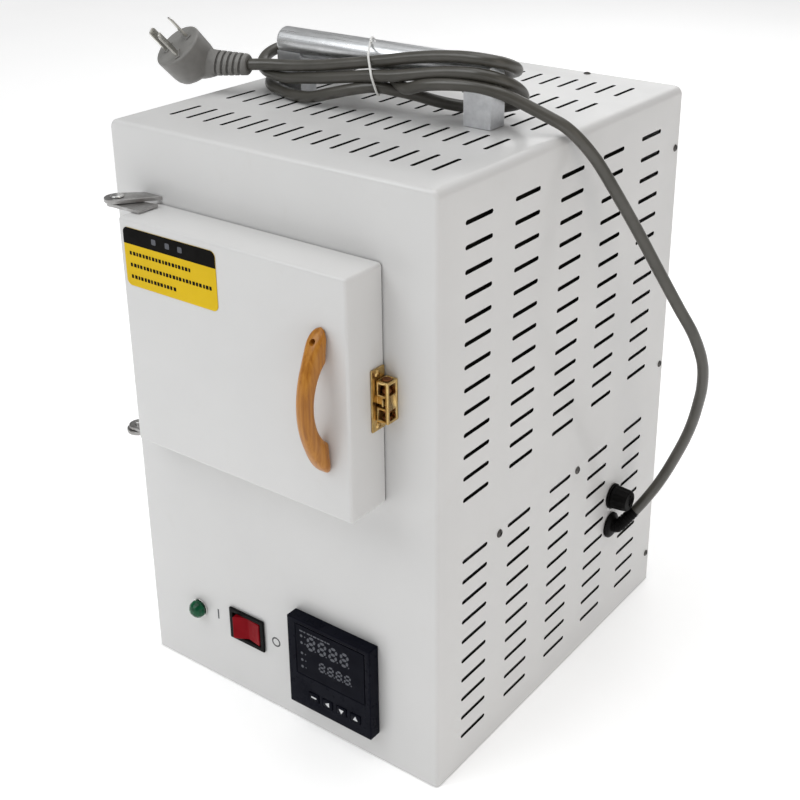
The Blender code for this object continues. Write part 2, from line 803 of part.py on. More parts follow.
def make_catch_balls():
    for name, sign in (("catch_ball_upper", 1), ("catch_ball_lower", -1)):
        shape = bmesh.new()
        centre = (*BALL_AXIS, CATCH_Z + sign * (BALL_GAP + BALL_RADIUS))
        bmesh.ops.create_uvsphere(
            shape, u_segments=16, v_segments=10, radius=BALL_RADIUS * MM,
            matrix=Matrix.Translation(Vector(centre) * MM),
        )
        from_bmesh(name, shape, "chrome", smooth=True)


def make_catch_strike():
    """Plate on the door's side with a tongue that enters the housing."""
    x0 = DOOR_X + GAP
    plate = box(
        "catch_strike",
        (x0, FRONT - 13.5, CATCH_Z - STRIKE_HALF),
        (x0 + 1.2, FRONT - 1.4, CATCH_Z + STRIKE_HALF),
        "brass",
    )
    tongue = box(
        "strike_tongue_tool",
        (x0 + 0.6, BALL_AXIS[1] - 3.0, CATCH_Z - TONGUE_HALF),
        (TONGUE_TIP, BALL_AXIS[1] + 3.2, CATCH_Z + TONGUE_HALF),
        target=CUTTERS,
    )
    join(plate, tongue)
    for label, z in (("upper", CATCH_Z + STRIKE_SCREW), ("lower", CATCH_Z - STRIKE_SCREW)):
        cut(plate, cylinder("strike_hole_" + label, (x0 - 2, FRONT - 8.0, z), "X", 1.6,
                            6, sides=16, target=CUTTERS))
        name = "strike_screw_" + label
        turned(
            name,
            [(1.2, 0), (1.2, 1.5), (2.6, 1.5), (2.6, 1.9), (1.4, 2.7)],
            (DOOR_X + 0.1, FRONT - 8.0, z), "X", "brass", sides=16,
        )


# -------------------------------------------------------------------- controls

def make_lamp():
    x, z = LAMP
    turned(
        "pilot_lamp_body",
        [(4.4, 0), (5.0, 1), (5.0, 24), (7.2, 24), (7.2, 25.2)],
        (x, FRONT - GAP + 24, z), (0, -1, 0), "black_plastic", sides=20,
    )
    turned(
        "pilot_lamp_lens",
        [(6.2, 0), (6.8, 1.0), (6.4, 3.6), (4.6, 6.0), (1.8, 7.2)],
        (x, FRONT - 1.8, z), (0, -1, 0), "green_lens", sides=8,
    )


def make_switch():
    x, z = SWITCH
    face = FRONT - 2.3
    bezel = box("switch_housing", (x - SWITCH_HALF[0], face, z - SWITCH_HALF[1]),
                (x + SWITCH_HALF[0], FRONT - GAP, z + SWITCH_HALF[1]), "black_plastic")
    barrel = box("switch_barrel_tool", (x - 14.6, FRONT - 1, z - 11.1),
                 (x + 14.6, FRONT + 20, z + 11.1), target=CUTTERS)
    join(bezel, barrel)
    pocket = box("switch_pocket", (x - 13.2, face - 5, z - 9.6),
                 (x + 13.2, FRONT + 12, z + 9.6), target=CUTTERS)
    cut(bezel, pocket)
    profile = [(-11.2, 8.6), (0.0, 4.8), (11.2, 8.6), (11.4, 1.0), (0.0, -3.5),
               (-11.4, 1.0)]
    tilt = math.radians(-ROCKER_TILT)
    outline = []
    for u, v in profile:
        turned_u = u * math.cos(tilt) - v * math.sin(tilt)
        turned_v = u * math.sin(tilt) + v * math.cos(tilt)
        outline.append((x + turned_u, ROCKER_PIVOT_Y - turned_v))
    prism("switch_rocker", outline, "Z", z - 9.2, z + 9.2, "red_plastic", bevel=0.6)


def make_controller():
    x, z = CONTROLLER
    half = CONTROLLER_HALF
    face = box("controller_housing", (x - half, CONTROLLER_FACE, z - half),
               (x + half, FRONT - GAP, z + half), "black_plastic")
    body = box("controller_body_tool", (x - 33, FRONT - 1, z - 33),
               (x + 33, FRONT + 78, z + 33), target=CUTTERS)
    join(face, body)
    cut(face, box("window_recess", (WINDOW_X[0], CONTROLLER_FACE - 5, WINDOW_Z[0]),
                  (WINDOW_X[1], CONTROLLER_FACE + 1.5, WINDOW_Z[1]), target=CUTTERS))
    box("controller_window",
        (WINDOW_X[0] + GAP, CONTROLLER_FACE, WINDOW_Z[0] + GAP),
        (WINDOW_X[1] - GAP, CONTROLLER_FACE + 1.2, WINDOW_Z[1] - GAP), "smoked")
    half_x, half_z = KEY_SIZE[0] / 2, KEY_SIZE[1] / 2
    for name, key_x in KEY_X.items():
        cut(face, box(name + "_key_pocket",
                      (key_x - half_x - GAP, CONTROLLER_FACE - 5, KEY_Z - half_z - GAP),
                      (key_x + half_x + GAP, CONTROLLER_FACE + 3.2, KEY_Z + half_z + GAP),
                      target=CUTTERS))
        box("key_" + name,
            (key_x - half_x, CONTROLLER_FACE - 0.6, KEY_Z - half_z),
            (key_x + half_x, CONTROLLER_FACE + 3.2 - KEY_TRAVEL - GAP, KEY_Z + half_z),
            "key", bevel=0.5)


def make_electronics():
    floor = SHEET + GAP
    box("solid_state_relay", (-95, 20, floor), (-50, 78, floor + 23), "black_plastic",
        bevel=1.5)
    block = box("terminal_block", (15, 60, floor), (85, 82, floor + 16), "white_plastic")
    wells = [
        ((x, 64, floor + 8), (x + 6, 78, floor + 30))
        for x in (20, 32, 44, 56, 68)
    ]
    cut(block, boxes_cutter("terminal_wells", wells))


# ----------------------------------------------------------------- power entry

def make_fuse():
    y, z = FUSE
    outside = SIDE + GAP
    holder = turned(
        "fuse_holder",
        [(4.6, 0), (6.0, 1.0), (6.0, 36), (10.0, 36), (10.0, 38)],
        (outside - 36, y, z), "X", "black_plastic", sides=24,
    )
    cut(holder, cylinder("fuse_bore", (outside - 28, y, z), "X", 3.6, 60, sides=20,
                         target=CUTTERS))
    cap_start = outside + 2 + GAP
    turned(
        "fuse_cap",
        [(9.0, 0), (9.2, 1.2), (8.6, 10.5), (7.8, 12.4), (3.6, 13.0)],
        (cap_start, y, z), "X", "black_plastic", sides=24,
    )
    cylinder("fuse_link", (cap_start - GAP - 22, y, z), "X", 2.6, 22, "glass", sides=16)


def make_gland():
    y, z = GLAND
    turned(
        "cord_gland",
        [(5.4, 0), (6.0, 1.0), (6.0, 14 + GAP), (10.2, 14 + GAP), (10.2, 16.0),
         (8.6, 17.2), (5.6, 18.0)],
        (SIDE - 14, y, z), "X", "black_plastic", sides=24,
    )


def make_cord():
    mouth = (SIDE + 4.3, *GLAND)
    points = [mouth, *smooth_curve(CORD_ROUTE, 2.0 * 2 * CORD_RADIUS)]
    rod("mains_cord", points, CORD_RADIUS, "grey_plastic", resolution=3)


def hank_path():
    """The race-track line that the folded cord follows round both posts, as
    (x, y, outward direction)."""
    stations = []
    for centre_x, start in ((HANK_RIGHT, -90), (HANK_LEFT, 90)):
        for x, y in arc((centre_x, HANK_Y), HANK_BEND, start, start + 180, 8):
            outward = Vector((x - centre_x, y - HANK_Y)).normalized()
            stations.append((x, y, outward))
        side = 1 if start < 0 else -1
        for i in range(1, 10):
            x = HANK_RIGHT + (HANK_LEFT - HANK_RIGHT) * i / 10
            if side < 0:
                x = HANK_LEFT + HANK_RIGHT - x
            stations.append((x, HANK_Y + side * HANK_BEND, Vector((0, side))))
    return stations


def hank_height(x, y):
    """Lowest and highest level of the folded cord: it climbs from left to
    right, and its front is drawn together under the tie."""
    t = (x - HANK_LEFT) / (HANK_RIGHT - HANK_LEFT)
    low, high = 419.0 + 7.0 * t, 446.0 + 17.0 * t
    if y < HANK_Y:
        pinch = math.exp(-((x - TIE_X) / 26.0) ** 2)
        low, high = low + 7.0 * pinch, high - 3.0 * pinch
    return low, high


def make_hank():
    """Outer shape of the cord's turns round the two posts: one closed loop."""
    shape = bmesh.new()
    rings = []
    for x, y, outward in hank_path():
        low, high = hank_height(x, y)
        corners = []
        for reach, height in ((-1, low), (1, low), (1, high), (-1, high)):
            place = Vector((x, y)) + outward * reach * HANK_HALF
            corners.append(shape.verts.new(Vector((*place, height)) * MM))
        rings.append(corners)
    for ring_a, ring_b in zip(rings, rings[1:] + rings[:1]):
        for i in range(4):
            j = (i + 1) % 4
            shape.faces.new((ring_a[i], ring_a[j], ring_b[j], ring_b[i]))
    from_bmesh("cord_hank", shape, "grey_plastic", smooth=True)


def make_tie():
    """Wire tie round the grip and the hank."""
    low, high = 425.0, GRIP_Z + GRIP_RADIUS + 1.9
    front, rear = HANK_Y - HANK_BEND - HANK_HALF - 2.0, GRIP_Y + GRIP_RADIUS + 1.9
    outline = rounded_rectangle((front, low), (rear, high), 8.0, 5)
    points = [(TIE_X, y, z) for y, z in outline]
    rod("cord_tie", points, 1.0, "white_plastic", resolution=2, closed=True)


def ring(centre, normal, across, radius_a, radius_b, count=20):
    """A closed ring of points round a centre, square to a normal."""
    side = (across - normal * across.dot(normal)).normalized()
    other = normal.cross(side)
    turns = [2 * math.pi * i / count for i in range(count)]
    return [centre + side * radius_a * math.cos(t) + other * radius_b * math.sin(t)
            for t in turns]


def plug_frame():
    """Start of the plug's body, the centre of its face and its three axes."""
    start = PLUG_NECK + PLUG_LEAD * RELIEF_LENGTH
    face = start + PLUG_LEAD * 17 + PLUG_FACING * 17
    earth = -PLUG_FACING.cross(PLUG_ACROSS)
    return start, face, earth


def make_plug():
    start, face, earth = plug_frame()
    elbow = start + PLUG_LEAD * 17
    tail = PLUG_NECK - PLUG_LEAD * CORD_TAIL
    rings = [
        ring(tail, PLUG_LEAD, PLUG_ACROSS, CORD_RADIUS, CORD_RADIUS),
        ring(PLUG_NECK, PLUG_LEAD, PLUG_ACROSS, CORD_RADIUS, CORD_RADIUS),
        ring(PLUG_NECK, PLUG_LEAD, PLUG_ACROSS, 7.2, 7.2),
        ring(start, PLUG_LEAD, PLUG_ACROSS, 9.2, 9.2),
    ]
    for t, radius in ((0.3, 11.5), (0.6, 15.0), (0.85, 17.4), (1.0, PLUG_RADIUS)):
        along = start.lerp(elbow, t).lerp(elbow.lerp(face, t), t)
        normal = PLUG_LEAD.lerp(PLUG_FACING, t).normalized()
        rings.append(ring(along, normal, PLUG_ACROSS, radius, radius * 0.96))
    loft("plug_body", rings, "grey_plastic")
    make_plug_pins(face, earth)


def make_plug_pins(face, earth):
    base = face + PLUG_FACING * GAP
    layout = (
        ("plug_pin_live", -8.0, -4.3, -30.0, 18.0),
        ("plug_pin_neutral", 8.0, -4.3, 30.0, 18.0),
        ("plug_pin_earth", 0.0, 10.3, 0.0, 20.0),
    )
    for name, across, down, slant, length in layout:
        centre = base + PLUG_ACROSS * across + earth * down
        turn = Matrix.Rotation(math.radians(slant), 3, PLUG_FACING)
        wide, thin = turn @ earth * 3.2, turn @ PLUG_ACROSS * 0.8
        section = [centre + wide + thin, centre - wide + thin,
                   centre - wide - thin, centre + wide - thin]
        tip = centre + PLUG_FACING * (length - 1.5)
        end = centre + PLUG_FACING * length
        rings = [
            section,
            [p - centre + tip for p in section],
            [(p - centre) * 0.6 + end for p in section],
        ]
        loft(name, rings, "brass")


# -------------------------------------------------------------- carrying handle

def make_carry_handle():
    start, end = GRIP_ENDS
    cylinder("carry_handle_grip", (start, GRIP_Y, GRIP_Z), "X", GRIP_RADIUS,
             end - start, "aluminium", sides=32, bevel=1.0)
    half_x, half_y = POST_SIZE[0] / 2, POST_SIZE[1] / 2
    for name, x in POST_X.items():
        post = box(name, (x - half_x, POST_Y - half_y, CASE_H + GAP),
                   (x + half_x, POST_Y + half_y, GRIP_Z - 2), "aluminium")
        cut(post, cylinder(name + "_saddle", (x - 20, GRIP_Y, GRIP_Z), "X",
                           GRIP_RADIUS + GAP, 40, sides=32, target=CUTTERS))


def make_shelf_screws():
    for name, y in SHELF_SCREW_Y.items():
        turned(
            name,
            [(2.9, 0), (2.9, 0.5), (1.4, 1.6)],
            (SIDE + 0.1, y, SHELF_TOP - 6.5), "X", "zinc", sides=16,
        )


make_case()
make_chamber()
make_door_shell()
make_door_core()
make_door_pull()
make_label()
make_hinges()
make_catch_housing()
make_catch_balls()
make_catch_strike()
make_lamp()
make_switch()
make_controller()
make_electronics()
make_fuse()
make_gland()
make_cord()
make_hank()
make_tie()
make_plug()
make_carry_handle()
make_shelf_screws()
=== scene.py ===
import math
import bmesh
import bpy
from mathutils import Matrix, Vector


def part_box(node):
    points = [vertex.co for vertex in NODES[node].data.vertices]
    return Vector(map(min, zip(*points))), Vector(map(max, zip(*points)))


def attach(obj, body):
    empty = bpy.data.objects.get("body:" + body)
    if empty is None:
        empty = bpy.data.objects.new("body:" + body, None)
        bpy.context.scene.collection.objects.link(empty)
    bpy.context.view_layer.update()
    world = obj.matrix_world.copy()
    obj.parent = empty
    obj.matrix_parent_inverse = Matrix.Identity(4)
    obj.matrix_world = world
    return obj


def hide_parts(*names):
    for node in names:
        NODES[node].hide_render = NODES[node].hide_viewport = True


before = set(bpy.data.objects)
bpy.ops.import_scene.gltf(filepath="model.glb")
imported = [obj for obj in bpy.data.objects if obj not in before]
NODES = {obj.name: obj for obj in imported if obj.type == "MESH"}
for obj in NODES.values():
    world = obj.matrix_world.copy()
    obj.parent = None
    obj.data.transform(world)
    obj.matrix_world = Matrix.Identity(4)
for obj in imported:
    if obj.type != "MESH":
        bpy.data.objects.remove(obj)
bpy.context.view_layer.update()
MM = 0.001


def span(node):
    """Lowest and highest corner of a CAD node, in millimetres."""
    low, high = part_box(node)
    return Vector(low) / MM, Vector(high) / MM


def placed(node):
    """Lowest and highest corner and centre of a CAD node, in millimetres."""
    low, high = span(node)
    return low, high, (low + high) / 2


def add_object(name, data):
    made = bpy.data.objects.new(name, data)
    bpy.context.scene.collection.objects.link(made)
    return made


CASE_LOW = Vector((span("front_panel")[0].x, span("front_panel")[0].y, 0.0))
CASE_HIGH = Vector((span("front_panel")[1].x, span("back_panel")[1].y,
                    span("top_panel")[1].z))
SHEET, DOOR_SHEET = 1.5, 1.2
BALL_TRAVEL = 1.2   # how far each catch ball is pushed back
FRONT = CASE_LOW.y
SIDE = CASE_HIGH.x
ROOF = CASE_HIGH.z
BACK = CASE_HIGH.y
DOOR_LOW, DOOR_HIGH = span("door_shell")
DOOR_FACE = DOOR_LOW.y
MOUTH_HALF = (68.0, 53.0)
EDGE_SCREW_Z = (372.8, 200.0, 27.2)
REAR_EDGE = 144.6   # how far back the side screws sit
SLOT_LENGTH, SLOT_WIDTH = 28.5, 3.0
SLOT_Y = (-108.4, -55.7, -2.0, 51.5, 105.5)
SLOT_ROWS = ((13, 208.3, 391.2), (10, 24.0, 163.3))
ROOF_SLOT_Y = (-105.0, -52.0, 1.6, 57.5, 110.5)
ROOF_SLOTS = (15, -106.75, 106.75)
CORD_RADIUS = 4.0


# ---- camera

def make_camera():
    """The photograph's view, with its framing as lens shifts."""
    data = bpy.data.cameras.new("camera")
    data.lens = 59.28
    data.sensor_width = 36.0
    data.shift_x, data.shift_y = -0.0437, -0.119
    camera = add_object("camera", data)
    azimuth, elevation = math.radians(35.8), math.radians(22.9)
    back = Vector((math.sin(azimuth) * math.cos(elevation),
                   -math.cos(azimuth) * math.cos(elevation),
                   math.sin(elevation)))
    camera.location = (0.5313, -0.7054, 0.6393)
    camera.rotation_euler = back.to_track_quat("Z", "Y").to_euler()
    bpy.context.scene.camera = camera


make_camera()


# ---- node materials

class Finish:
    """A node material under construction; its textures use object metres."""

    def __init__(self, name, **uniform):
        self.material = bpy.data.materials.new(name)
        self.material.use_nodes = True
        self.tree = self.material.node_tree
        self.shader = self.tree.nodes["Principled BSDF"]
        self.place = self.tree.nodes.new("ShaderNodeTexCoord").outputs["Object"]
        for key, value in uniform.items():
            socket = self.shader.inputs[key.replace("_", " ")]
            socket.default_value = (*value, 1.0) if isinstance(value, tuple) else value

    def node(self, kind, inputs=(), **settings):
        made = self.tree.nodes.new("ShaderNode" + kind)
        for key, value in settings.items():
            setattr(made, key, value)
        for key, value in dict(inputs).items():
            self.feed(made.inputs[key], value)
        return made

    def feed(self, socket, value):
        if isinstance(value, bpy.types.NodeSocket):
            self.tree.links.new(value, socket)
        elif isinstance(value, tuple) and len(value) == 3 and socket.type == "RGBA":
            socket.default_value = (*value, 1.0)
        else:
            socket.default_value = value

    def set(self, name, value):
        self.feed(self.shader.inputs[name], value)

    def stretched(self, scale):
        return self.node("Mapping", {"Vector": self.place, "Scale": scale}).outputs[0]

    def noise(self, scale, detail=3.0, rough=0.55, warp=0.0, stretch=None):
        vector = self.stretched(stretch) if stretch else self.place
        return self.node("TexNoise", {
            "Vector": vector, "Scale": scale, "Detail": detail, "Roughness": rough,
            "Distortion": warp}).outputs["Fac"]

    def cells(self, scale, output="Distance"):
        return self.node("TexVoronoi", {
            "Vector": self.place, "Scale": scale}).outputs[output]

    def ramp(self, factor, *stops):
        made = self.node("ValToRGB", {"Fac": factor})
        elements = made.color_ramp.elements
        while len(elements) < len(stops):
            elements.new(0.5)
        for element, (place, colour) in zip(elements, stops):
            element.position = place
            element.color = (*colour, 1.0)
        return made.outputs["Color"]

    def tones(self, factor, dark, light):
        return self.ramp(factor, (0.3, dark), (0.7, light))

    def level(self, factor, low, high, start=0.3, end=0.7):
        """A value that runs between two levels."""
        return self.node("MapRange", {
            "Value": factor, "From Min": start, "From Max": end,
            "To Min": low, "To Max": high}).outputs[0]

    def math(self, operation, a, b=0.0):
        made = self.node("Math", operation=operation)
        self.feed(made.inputs[0], a)
        self.feed(made.inputs[1], b)
        return made.outputs[0]

    def mix(self, factor, a, b):
        made = self.node("Mix", data_type="RGBA")
        self.feed(made.inputs[0], factor)
        self.feed(made.inputs[6], a)
        self.feed(made.inputs[7], b)
        return made.outputs[2]

    def bump(self, height, depth, under=None):
        """Depth is the height of the relief, in millimetres."""
        inputs = {"Height": height, "Distance": depth * MM, "Strength": 1.0}
        if under:
            inputs["Normal"] = under
        normal = self.node("Bump", inputs).outputs[0]
        self.set("Normal", normal)
        return normal


def powder_coat():
    made = Finish("powder_coat", IOR=1.5, Coat_Weight=0.25, Coat_Roughness=0.12)
    cloud = made.noise(9.0, 4.0)
    speck = made.noise(260.0, 2.0)
    colour = made.tones(cloud, (0.660, 0.657, 0.652), (0.695, 0.691, 0.684))
    soil = made.level(made.noise(38.0, 6.0, 0.7, 0.4), 0.0, 0.16, 0.60, 0.78)
    colour = made.mix(soil, colour, (0.58, 0.56, 0.52))
    made.set("Base Color", made.mix(made.level(speck, 0.0, 0.05, 0.62, 0.8), colour,
                                    (0.55, 0.54, 0.52)))
    made.set("Roughness", made.level(made.noise(60.0, 5.0), 0.30, 0.42))
    peel = made.bump(made.noise(420.0, 2.0, 0.4), 0.035)
    made.bump(made.noise(26.0, 1.0), 0.12, under=peel)
    return made.material


def zinc():
    made = Finish("zinc_sheet", Metallic=1.0)
    flakes = made.cells(120.0, output="Color")
    tone = made.node("SeparateColor", {"Color": flakes}).outputs[0]
    made.set("Base Color", made.ramp(tone, (0.0, (0.50, 0.51, 0.53)),
                                     (1.0, (0.68, 0.69, 0.70))))
    made.set("Roughness", made.level(tone, 0.32, 0.5, 0.0, 1.0))
    made.bump(made.noise(500.0, 3.0), 0.03)
    return made.material


def fibre():
    made = Finish("ceramic_fibre", Sheen_Weight=0.35, Sheen_Roughness=0.6)
    strands = made.noise(210.0, 6.0, 0.7, 1.4, (1.0, 2.6, 1.0))
    tufts = made.noise(45.0, 4.0)
    made.set("Base Color", made.tones(tufts, (0.80, 0.77, 0.71), (0.90, 0.885, 0.84)))
    made.set("Roughness", made.level(strands, 0.85, 0.98))
    under = made.bump(tufts, 0.9)
    made.bump(strands, 0.45, under=under)
    return made.material


def fired_board():
    made = Finish("fired_board")
    pores = made.cells(330.0)
    cloud = made.noise(22.0, 5.0)
    colour = made.ramp(cloud, (0.25, (0.70, 0.60, 0.47)), (0.6, (0.84, 0.78, 0.68)))
    made.set("Base Color", made.mix(made.level(pores, 0.5, 0.0, 0.05, 0.22), colour,
                                    (0.45, 0.38, 0.30)))
    made.set("Roughness", made.level(cloud, 0.86, 0.96))
    under = made.bump(made.level(pores, 0.0, 1.0, 0.02, 0.3), 0.35)
    made.bump(made.noise(140.0, 5.0), 0.5, under=under)
    return made.material


def clay():
    made = Finish("fired_clay")
    grit = made.cells(520.0)
    made.set("Base Color", made.tones(made.noise(60.0, 6.0), (0.56, 0.50, 0.43),
                                      (0.74, 0.69, 0.61)))
    made.set("Roughness", made.level(grit, 0.7, 0.9, 0.1, 0.5))
    made.bump(grit, 0.2)
    return made.material


def metal(name, dark, light, smooth, rough, brushed=None, scratch=700.0):
    """A plated or bare metal with stains and fine scratches."""
    made = Finish(name, Metallic=1.0)
    stain = made.noise(85.0, 5.0, 0.65)
    lines = made.noise(scratch, 3.0, 0.6, 0.0, brushed or (1.0, 1.0, 0.12))
    made.set("Base Color", made.ramp(stain, (0.32, dark), (0.62, light)))
    tone = made.level(lines, smooth, rough, 0.35, 0.65)
    made.set("Roughness", made.math("ADD", tone, made.level(stain, 0.06, 0.0)))
    made.bump(lines, 0.012)
    return made.material


def varnished_wood():
    made = Finish("varnished_wood", Coat_Weight=0.2, Coat_Roughness=0.12,
                  Specular_IOR_Level=0.25)
    bend = made.noise(14.0, 3.0, 0.5, 0.6, (1.0, 1.0, 0.25))
    across = made.node("SeparateXYZ", {"Vector": made.place}).outputs[0]
    rings = made.node("TexNoise", {
        "Vector": made.stretched((1.0, 1.0, 0.045)), "Scale": 420.0, "Detail": 5.0,
        "Roughness": 0.6, "Distortion": 0.35}).outputs["Fac"]
    wave = made.math("SINE", made.math("ADD", made.math("MULTIPLY", across, 1900.0),
                                       made.math("MULTIPLY", bend, 26.0)))
    band = made.math("ADD", made.math("MULTIPLY", wave, 0.05), rings)
    made.set("Base Color", made.ramp(
        band, (0.30, (0.30, 0.105, 0.010)), (0.50, (0.42, 0.165, 0.018)),
        (0.70, (0.50, 0.215, 0.030))))
    made.set("Roughness", made.level(rings, 0.28, 0.42))
    pores = made.noise(900.0, 2.0, 0.5, 0.0, (1.0, 1.0, 0.06))
    made.bump(pores, 0.04)
    return made.material


def plastic(name, colour, smooth, rough, grain=0.03, **uniform):
    """Moulded plastic with a fine moulded grain, dust and handling marks."""
    made = Finish(name, **uniform)
    cloud = made.noise(70.0, 5.0, 0.65)
    dark = tuple(c * 0.86 for c in colour)
    light = tuple(min(1.0, c * 1.12 + 0.004) for c in colour)
    made.set("Base Color", made.tones(cloud, dark, light))
    made.set("Roughness", made.level(made.noise(190.0, 5.0), smooth, rough))
    made.bump(made.noise(1500.0, 3.0), grain)
    return made.material


def cord_sheath():
    """Grey PVC with the faint lay of the cores inside and dull scuffs."""
    made = Finish("grey_cord", Coat_Weight=0.35, Coat_Roughness=0.22, IOR=1.5)
    scuff = made.noise(120.0, 6.0, 0.7)
    made.set("Base Color", made.tones(made.noise(35.0, 4.0), (0.046, 0.043, 0.034),
                                      (0.075, 0.070, 0.059)))
    made.set("Roughness", made.level(scuff, 0.30, 0.46))
    under = made.bump(made.noise(90.0, 1.0), 0.25)
    made.bump(made.noise(1300.0, 3.0), 0.03, under=under)
    return made.material


def tinted(name, dark, light, cloud, levels, relief, depth, wear=None, **uniform):
    """A finish led by fine noises, each given by its scale and detail."""
    made = Finish(name, **uniform)
    tone = made.noise(*cloud)
    made.set("Base Color", made.tones(tone, dark, light))
    made.set("Roughness", made.level(made.noise(*wear) if wear else tone, *levels))
    made.bump(made.noise(*relief), depth)
    return made.material


def floor_paint():
    made = Finish("floor_paint")
    cloud = made.noise(1.6, 3.0)
    tone = made.tones(cloud, (0.92, 0.92, 0.92), (0.94, 0.94, 0.94))
    made.set("Base Color", tone)
    made.set("Emission Color", tone)
    made.set("Emission Strength", 0.34)
    made.set("Roughness", made.level(cloud, 0.55, 0.65))
    return made.material


FINISH = {
    "case": powder_coat(),
    "zinc_sheet": zinc(),
    "fibre": fibre(),
    "lining": fired_board(),
    "hearth": clay(),
    "heater_wire": tinted("oxidised_wire", (0.10, 0.085, 0.08), (0.30, 0.26, 0.23),
                          (900.0, 4.0), (0.45, 0.7), (900.0, 4.0), 0.05, Metallic=0.8),
    "ceramic": tinted("ceramic_sheath", (0.74, 0.70, 0.63), (0.85, 0.82, 0.77),
                      (120.0, 4.0), (0.45, 0.65), (900.0, 3.0), 0.03),
    "chrome": metal("nickel_plate", (0.55, 0.54, 0.52), (0.74, 0.74, 0.73), 0.14, 0.26),
    "steel": metal("hinge_steel", (0.30, 0.29, 0.28), (0.46, 0.455, 0.45), 0.26, 0.42),
    "dark_screw": metal("dark_screw", (0.07, 0.066, 0.062), (0.13, 0.125, 0.12),
                        0.34, 0.5),
    "bronze": metal("dark_bronze", (0.15, 0.055, 0.020), (0.30, 0.125, 0.050),
                    0.3, 0.5),
    "pin": metal("nickel_pin", (0.42, 0.41, 0.38), (0.66, 0.65, 0.61), 0.2, 0.34),
    # Near-black coat on the inside of the case and on the slot walls: painted shade that
    # makes the slots read dark.
    "slot_shade": plastic("painted_slot_shade", (0.012, 0.011, 0.010), 0.6, 0.8, 0.05,
                      Specular_IOR_Level=0.15),
    # Near-black gasket colour: partly the seal, partly painted shade in the gap between
    # door and case.
    "seal_and_gap_shade": plastic("door_seal_and_gap_shade", (0.030, 0.028, 0.026), 0.7, 0.9, 0.15),
    "jacket": plastic("mineral_wool", (0.075, 0.070, 0.060), 0.85, 0.98, 0.6),
    "brass": metal("brass", (0.46, 0.29, 0.10), (0.78, 0.57, 0.25), 0.20, 0.36),
    "wood": varnished_wood(),
    "label": tinted("sticker_yellow", (0.70, 0.46, 0.003), (0.76, 0.51, 0.005),
                    (30.0, 4.0), (0.34, 0.48), (240.0, 2.0), 0.03, (160.0, 4.0),
                    Specular_IOR_Level=0.12),
    "label_black": plastic("sticker_black", (0.004, 0.0035, 0.003), 0.4, 0.55, 0.01,
                           Specular_IOR_Level=0.03),
    "black_plastic": plastic("black_plastic", (0.0035, 0.0033, 0.0032), 0.34, 0.5,
                             Specular_IOR_Level=0.06),
    "controller": plastic("controller_plastic", (0.0028, 0.0034, 0.008), 0.24, 0.36,
                          0.012, Specular_IOR_Level=0.03),
    "screen": plastic("smoked_window", (0.0015, 0.002, 0.006), 0.08, 0.16, 0.004,
                      Specular_IOR_Level=0.03),
    "segment": plastic("digit_segment", (0.105, 0.110, 0.125), 0.35, 0.5, 0.01,
                       Specular_IOR_Level=0.1),
    "print": plastic("white_print", (0.66, 0.67, 0.68), 0.4, 0.55, 0.01),
    "mark": plastic("dark_print", (0.045, 0.045, 0.05), 0.4, 0.55, 0.01),
    "green_lens": tinted("green_lens", (0.001, 0.040, 0.016), (0.002, 0.125, 0.048),
                         (160.0, 2.0), (0.06, 0.14), (500.0, 1.0), 0.02,
                         Specular_IOR_Level=0.2, Coat_Weight=0.06, Coat_Roughness=0.05),
    "red_plastic": plastic("red_plastic", (0.23, 0.001, 0.006), 0.14, 0.26, 0.01,
                           Specular_IOR_Level=0.05),
    "grey_cord": cord_sheath(),
    "plug": plastic("grey_moulding", (0.215, 0.210, 0.200), 0.40, 0.55, 0.05,
                    Specular_IOR_Level=0.35),
    "aluminium": metal("satin_aluminium", (0.70, 0.71, 0.72), (0.86, 0.87, 0.88),
                       0.24, 0.38, (0.02, 1.0, 1.0), 1500.0),
    "cast": metal("cast_aluminium", (0.66, 0.67, 0.69), (0.82, 0.83, 0.85),
                  0.30, 0.46, (1.0, 1.0, 0.05), 1200.0),
    "white_plastic": plastic("white_plastic", (0.80, 0.80, 0.78), 0.3, 0.45),
    "glass": tinted("fuse_glass", (0.82, 0.87, 0.86), (0.92, 0.95, 0.94),
                    (200.0, 3.0), (0.03, 0.1), (200.0, 3.0), 0.01,
                    IOR=1.5, Transmission_Weight=0.85),
}


# ---- mesh tools

def link(name, data, finish, body="case", replaced=()):
    made = add_object(name, data)
    data.materials.clear()
    data.materials.append(FINISH[finish])
    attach(made, body)
    if replaced:
        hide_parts(*replaced)
    return made


def soften(mesh, angle):
    mesh.shade_smooth()
    mesh.set_sharp_from_angle(angle=math.radians(angle))


def thicken(obj, thickness, turned):
    """Gives a sheet its wall, inwards from the drawn surface."""
    if turned:
        obj.data.flip_normals()
    wall = obj.modifiers.new("wall", "SOLIDIFY")
    wall.thickness, wall.offset, wall.use_even_offset = thickness * MM, -1.0, True
    # A second material goes on the inner faces and the rims: on the case cover, the painted
    # shade seen through the slots.
    if len(obj.data.materials) > 1:
        wall.material_offset = wall.material_offset_rim = 1
    settle(obj)


def at(item, axis, value):
    """Whether all of an edge's or a face's corners lie on a plane."""
    return all(abs(v.co[axis] - value) < 1e-6 for v in item.verts)


def open_up(shape, *planes):
    """Takes away the faces that lie on the given planes."""
    faces = [f for f in shape.faces if any(at(f, *plane) for plane in planes)]
    bmesh.ops.delete(shape, geom=faces, context="FACES")


def from_shape(name, shape, finish, body="case", replaced=(), smooth=35.0):
    bmesh.ops.recalc_face_normals(shape, faces=shape.faces)
    mesh = bpy.data.meshes.new(name)
    shape.to_mesh(mesh)
    shape.free()
    if smooth:
        soften(mesh, smooth)
    return link(name, mesh, finish, body, replaced)


def cuboid(low, high):
    shape = bmesh.new()
    bmesh.ops.create_cube(shape, size=1.0)
    low, high = Vector(low), Vector(high)
    for vert in shape.verts:
        vert.co = Vector([low[i] + (vert.co[i] + 0.5) * (high[i] - low[i])
                          for i in range(3)]) * MM
    return shape


